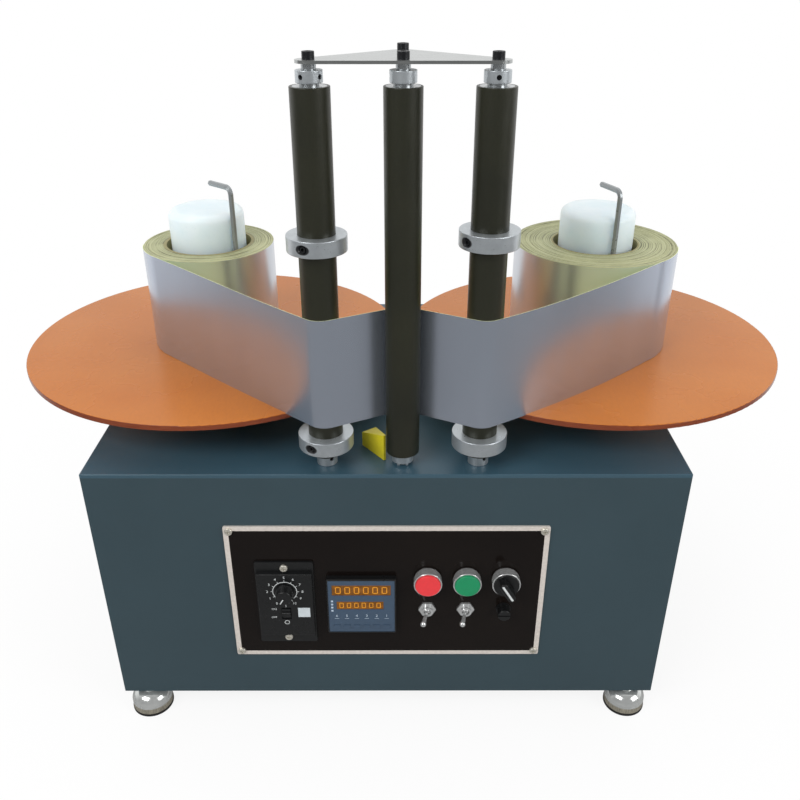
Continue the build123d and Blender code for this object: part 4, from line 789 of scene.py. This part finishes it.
# ---------------------------------------------------------------- stage, light and camera
FLOOR_REACH, FLOOR_SQUARES = 40.0, 4
FLOOR_PALE = (0.9, 0.9, 0.9, 1)
WHITE = (1, 1, 1, 1)
FLOOR_NEAR, FLOOR_FAR, NEAR_GLOW = 0.35, 0.8, 0.88      # the floor is plain white past the far one
FRONT_GREY = 0.235          # how bright the room in front shows in glossy surfaces
FLOOR_FRONT_Y, FLOOR_BACK_Y = -0.10, 0.45       # the floor goes from that grey to white
SKY_FRONT_Y, SKY_BACK_Y = -0.35, 0.3
SOFT_REACH, SOFT_FRONT, SOFT_BACK = 0.5, 0.42, 0.85     # plain light from the front and the back
MIDDLE = (0, 0, 0.4)        # what the lamps point at
SOFTBOXES = (               # name, place, width and height, watts
    ("key", (-1.3, -1.5, 1.9), (1.4, 1.0), 32),
    ("fill", (1.8, -1.2, 1.3), (1.2, 1.2), 21),
    ("top", (0.0, 0.3, 2.4), (1.8, 1.2), 6),
)
CAMERA_PLACE = (-0.0035, FACE_Y - 0.6730, DECK_Z + 0.4428)
CAMERA_TILT, CAMERA_PAN = 61.751, -0.071
CAMERA_LENS, SENSOR = 37.66, 36.0
CLIP_NEAR, CLIP_FAR = 0.05, 200.0


def floor():
    """White floor with the object's shadow; in glossy surfaces its front half shows grey."""
    bm = bmesh.new()
    bmesh.ops.create_grid(bm, x_segments=FLOOR_SQUARES, y_segments=FLOOR_SQUARES,
                           size=FLOOR_REACH)
    mesh = bpy.data.meshes.new("floor")
    bm.to_mesh(mesh)
    bm.free()
    obj = bpy.data.objects.new("floor", mesh)
    scene.collection.objects.link(obj)
    mat = bpy.data.materials.new("floor_look")
    mat.use_nodes = True
    graph = Graph(mat.node_tree)
    graph.nodes.clear()
    ray = graph.node("ShaderNodeLightPath").outputs
    place = graph.node("ShaderNodeTexCoord").outputs["Object"]
    fade = graph.spread(graph.length(place), NEAR_GLOW, 1.0, FLOOR_NEAR, FLOOR_FAR)
    front = graph.spread(graph.axis("Y", place), FRONT_GREY, 1.0, FLOOR_FRONT_Y, FLOOR_BACK_Y)
    level = graph.math("MAXIMUM", ray["Is Camera Ray"], front)
    seen = graph.math("MAXIMUM", ray["Is Camera Ray"], ray["Is Glossy Ray"])
    seen = graph.math("MAXIMUM", seen, ray["Is Transmission Ray"])
    matt = graph.node("ShaderNodeBsdfDiffuse", {"Color": FLOOR_PALE}).outputs[0]
    glow = graph.node("ShaderNodeEmission", {"Color": WHITE, "Strength": level}).outputs[0]
    share = graph.math("MULTIPLY", seen, fade)
    both = graph.node("ShaderNodeMixShader", {0: share, 1: matt, 2: glow}).outputs[0]
    graph.node("ShaderNodeOutputMaterial", {"Surface": both})
    mesh.materials.append(mat)


def world():
    """White backdrop; in glossy surfaces the room in front shows grey."""
    sky = bpy.data.worlds.new("studio")
    scene.world = sky
    sky.use_nodes = True
    graph = Graph(sky.node_tree)
    graph.nodes.clear()
    ray = graph.node("ShaderNodeLightPath").outputs
    back_y = graph.axis("Y", graph.node("ShaderNodeTexCoord").outputs["Generated"])
    front = graph.spread(back_y, FRONT_GREY, 1.0, SKY_FRONT_Y, SKY_BACK_Y)
    soft = graph.spread(back_y, SOFT_FRONT, SOFT_BACK, -SOFT_REACH, SOFT_REACH)
    shiny = graph.math("MAXIMUM", ray["Is Glossy Ray"], ray["Is Transmission Ray"])
    level = graph.spread(shiny, soft, front, 0.0, 1.0)
    level = graph.math("MAXIMUM", ray["Is Camera Ray"], level)
    back = graph.node("ShaderNodeBackground", {"Color": WHITE, "Strength": level}).outputs[0]
    graph.node("ShaderNodeOutputWorld", {"Surface": back})


def softbox(name, place, size, power):
    light = bpy.data.lights.new(name, "AREA")
    light.shape = "RECTANGLE"
    light.size, light.size_y = size
    light.energy = power
    obj = bpy.data.objects.new(name, light)
    scene.collection.objects.link(obj)
    obj.location = place
    obj.rotation_euler = (Vector(MIDDLE) - Vector(place)).to_track_quat("-Z", "Y").to_euler()


floor()
world()
for box in SOFTBOXES:
    softbox(*box)

camera = bpy.data.cameras.new("camera")
camera.lens, camera.sensor_width = CAMERA_LENS, SENSOR
camera.clip_start, camera.clip_end = CLIP_NEAR, CLIP_FAR
view = bpy.data.objects.new("camera", camera)
scene.collection.objects.link(view)
view.location = CAMERA_PLACE
view.rotation_euler = (radians(CAMERA_TILT), 0, radians(CAMERA_PAN))
scene.camera = view
scene.view_settings.view_transform = "Standard"
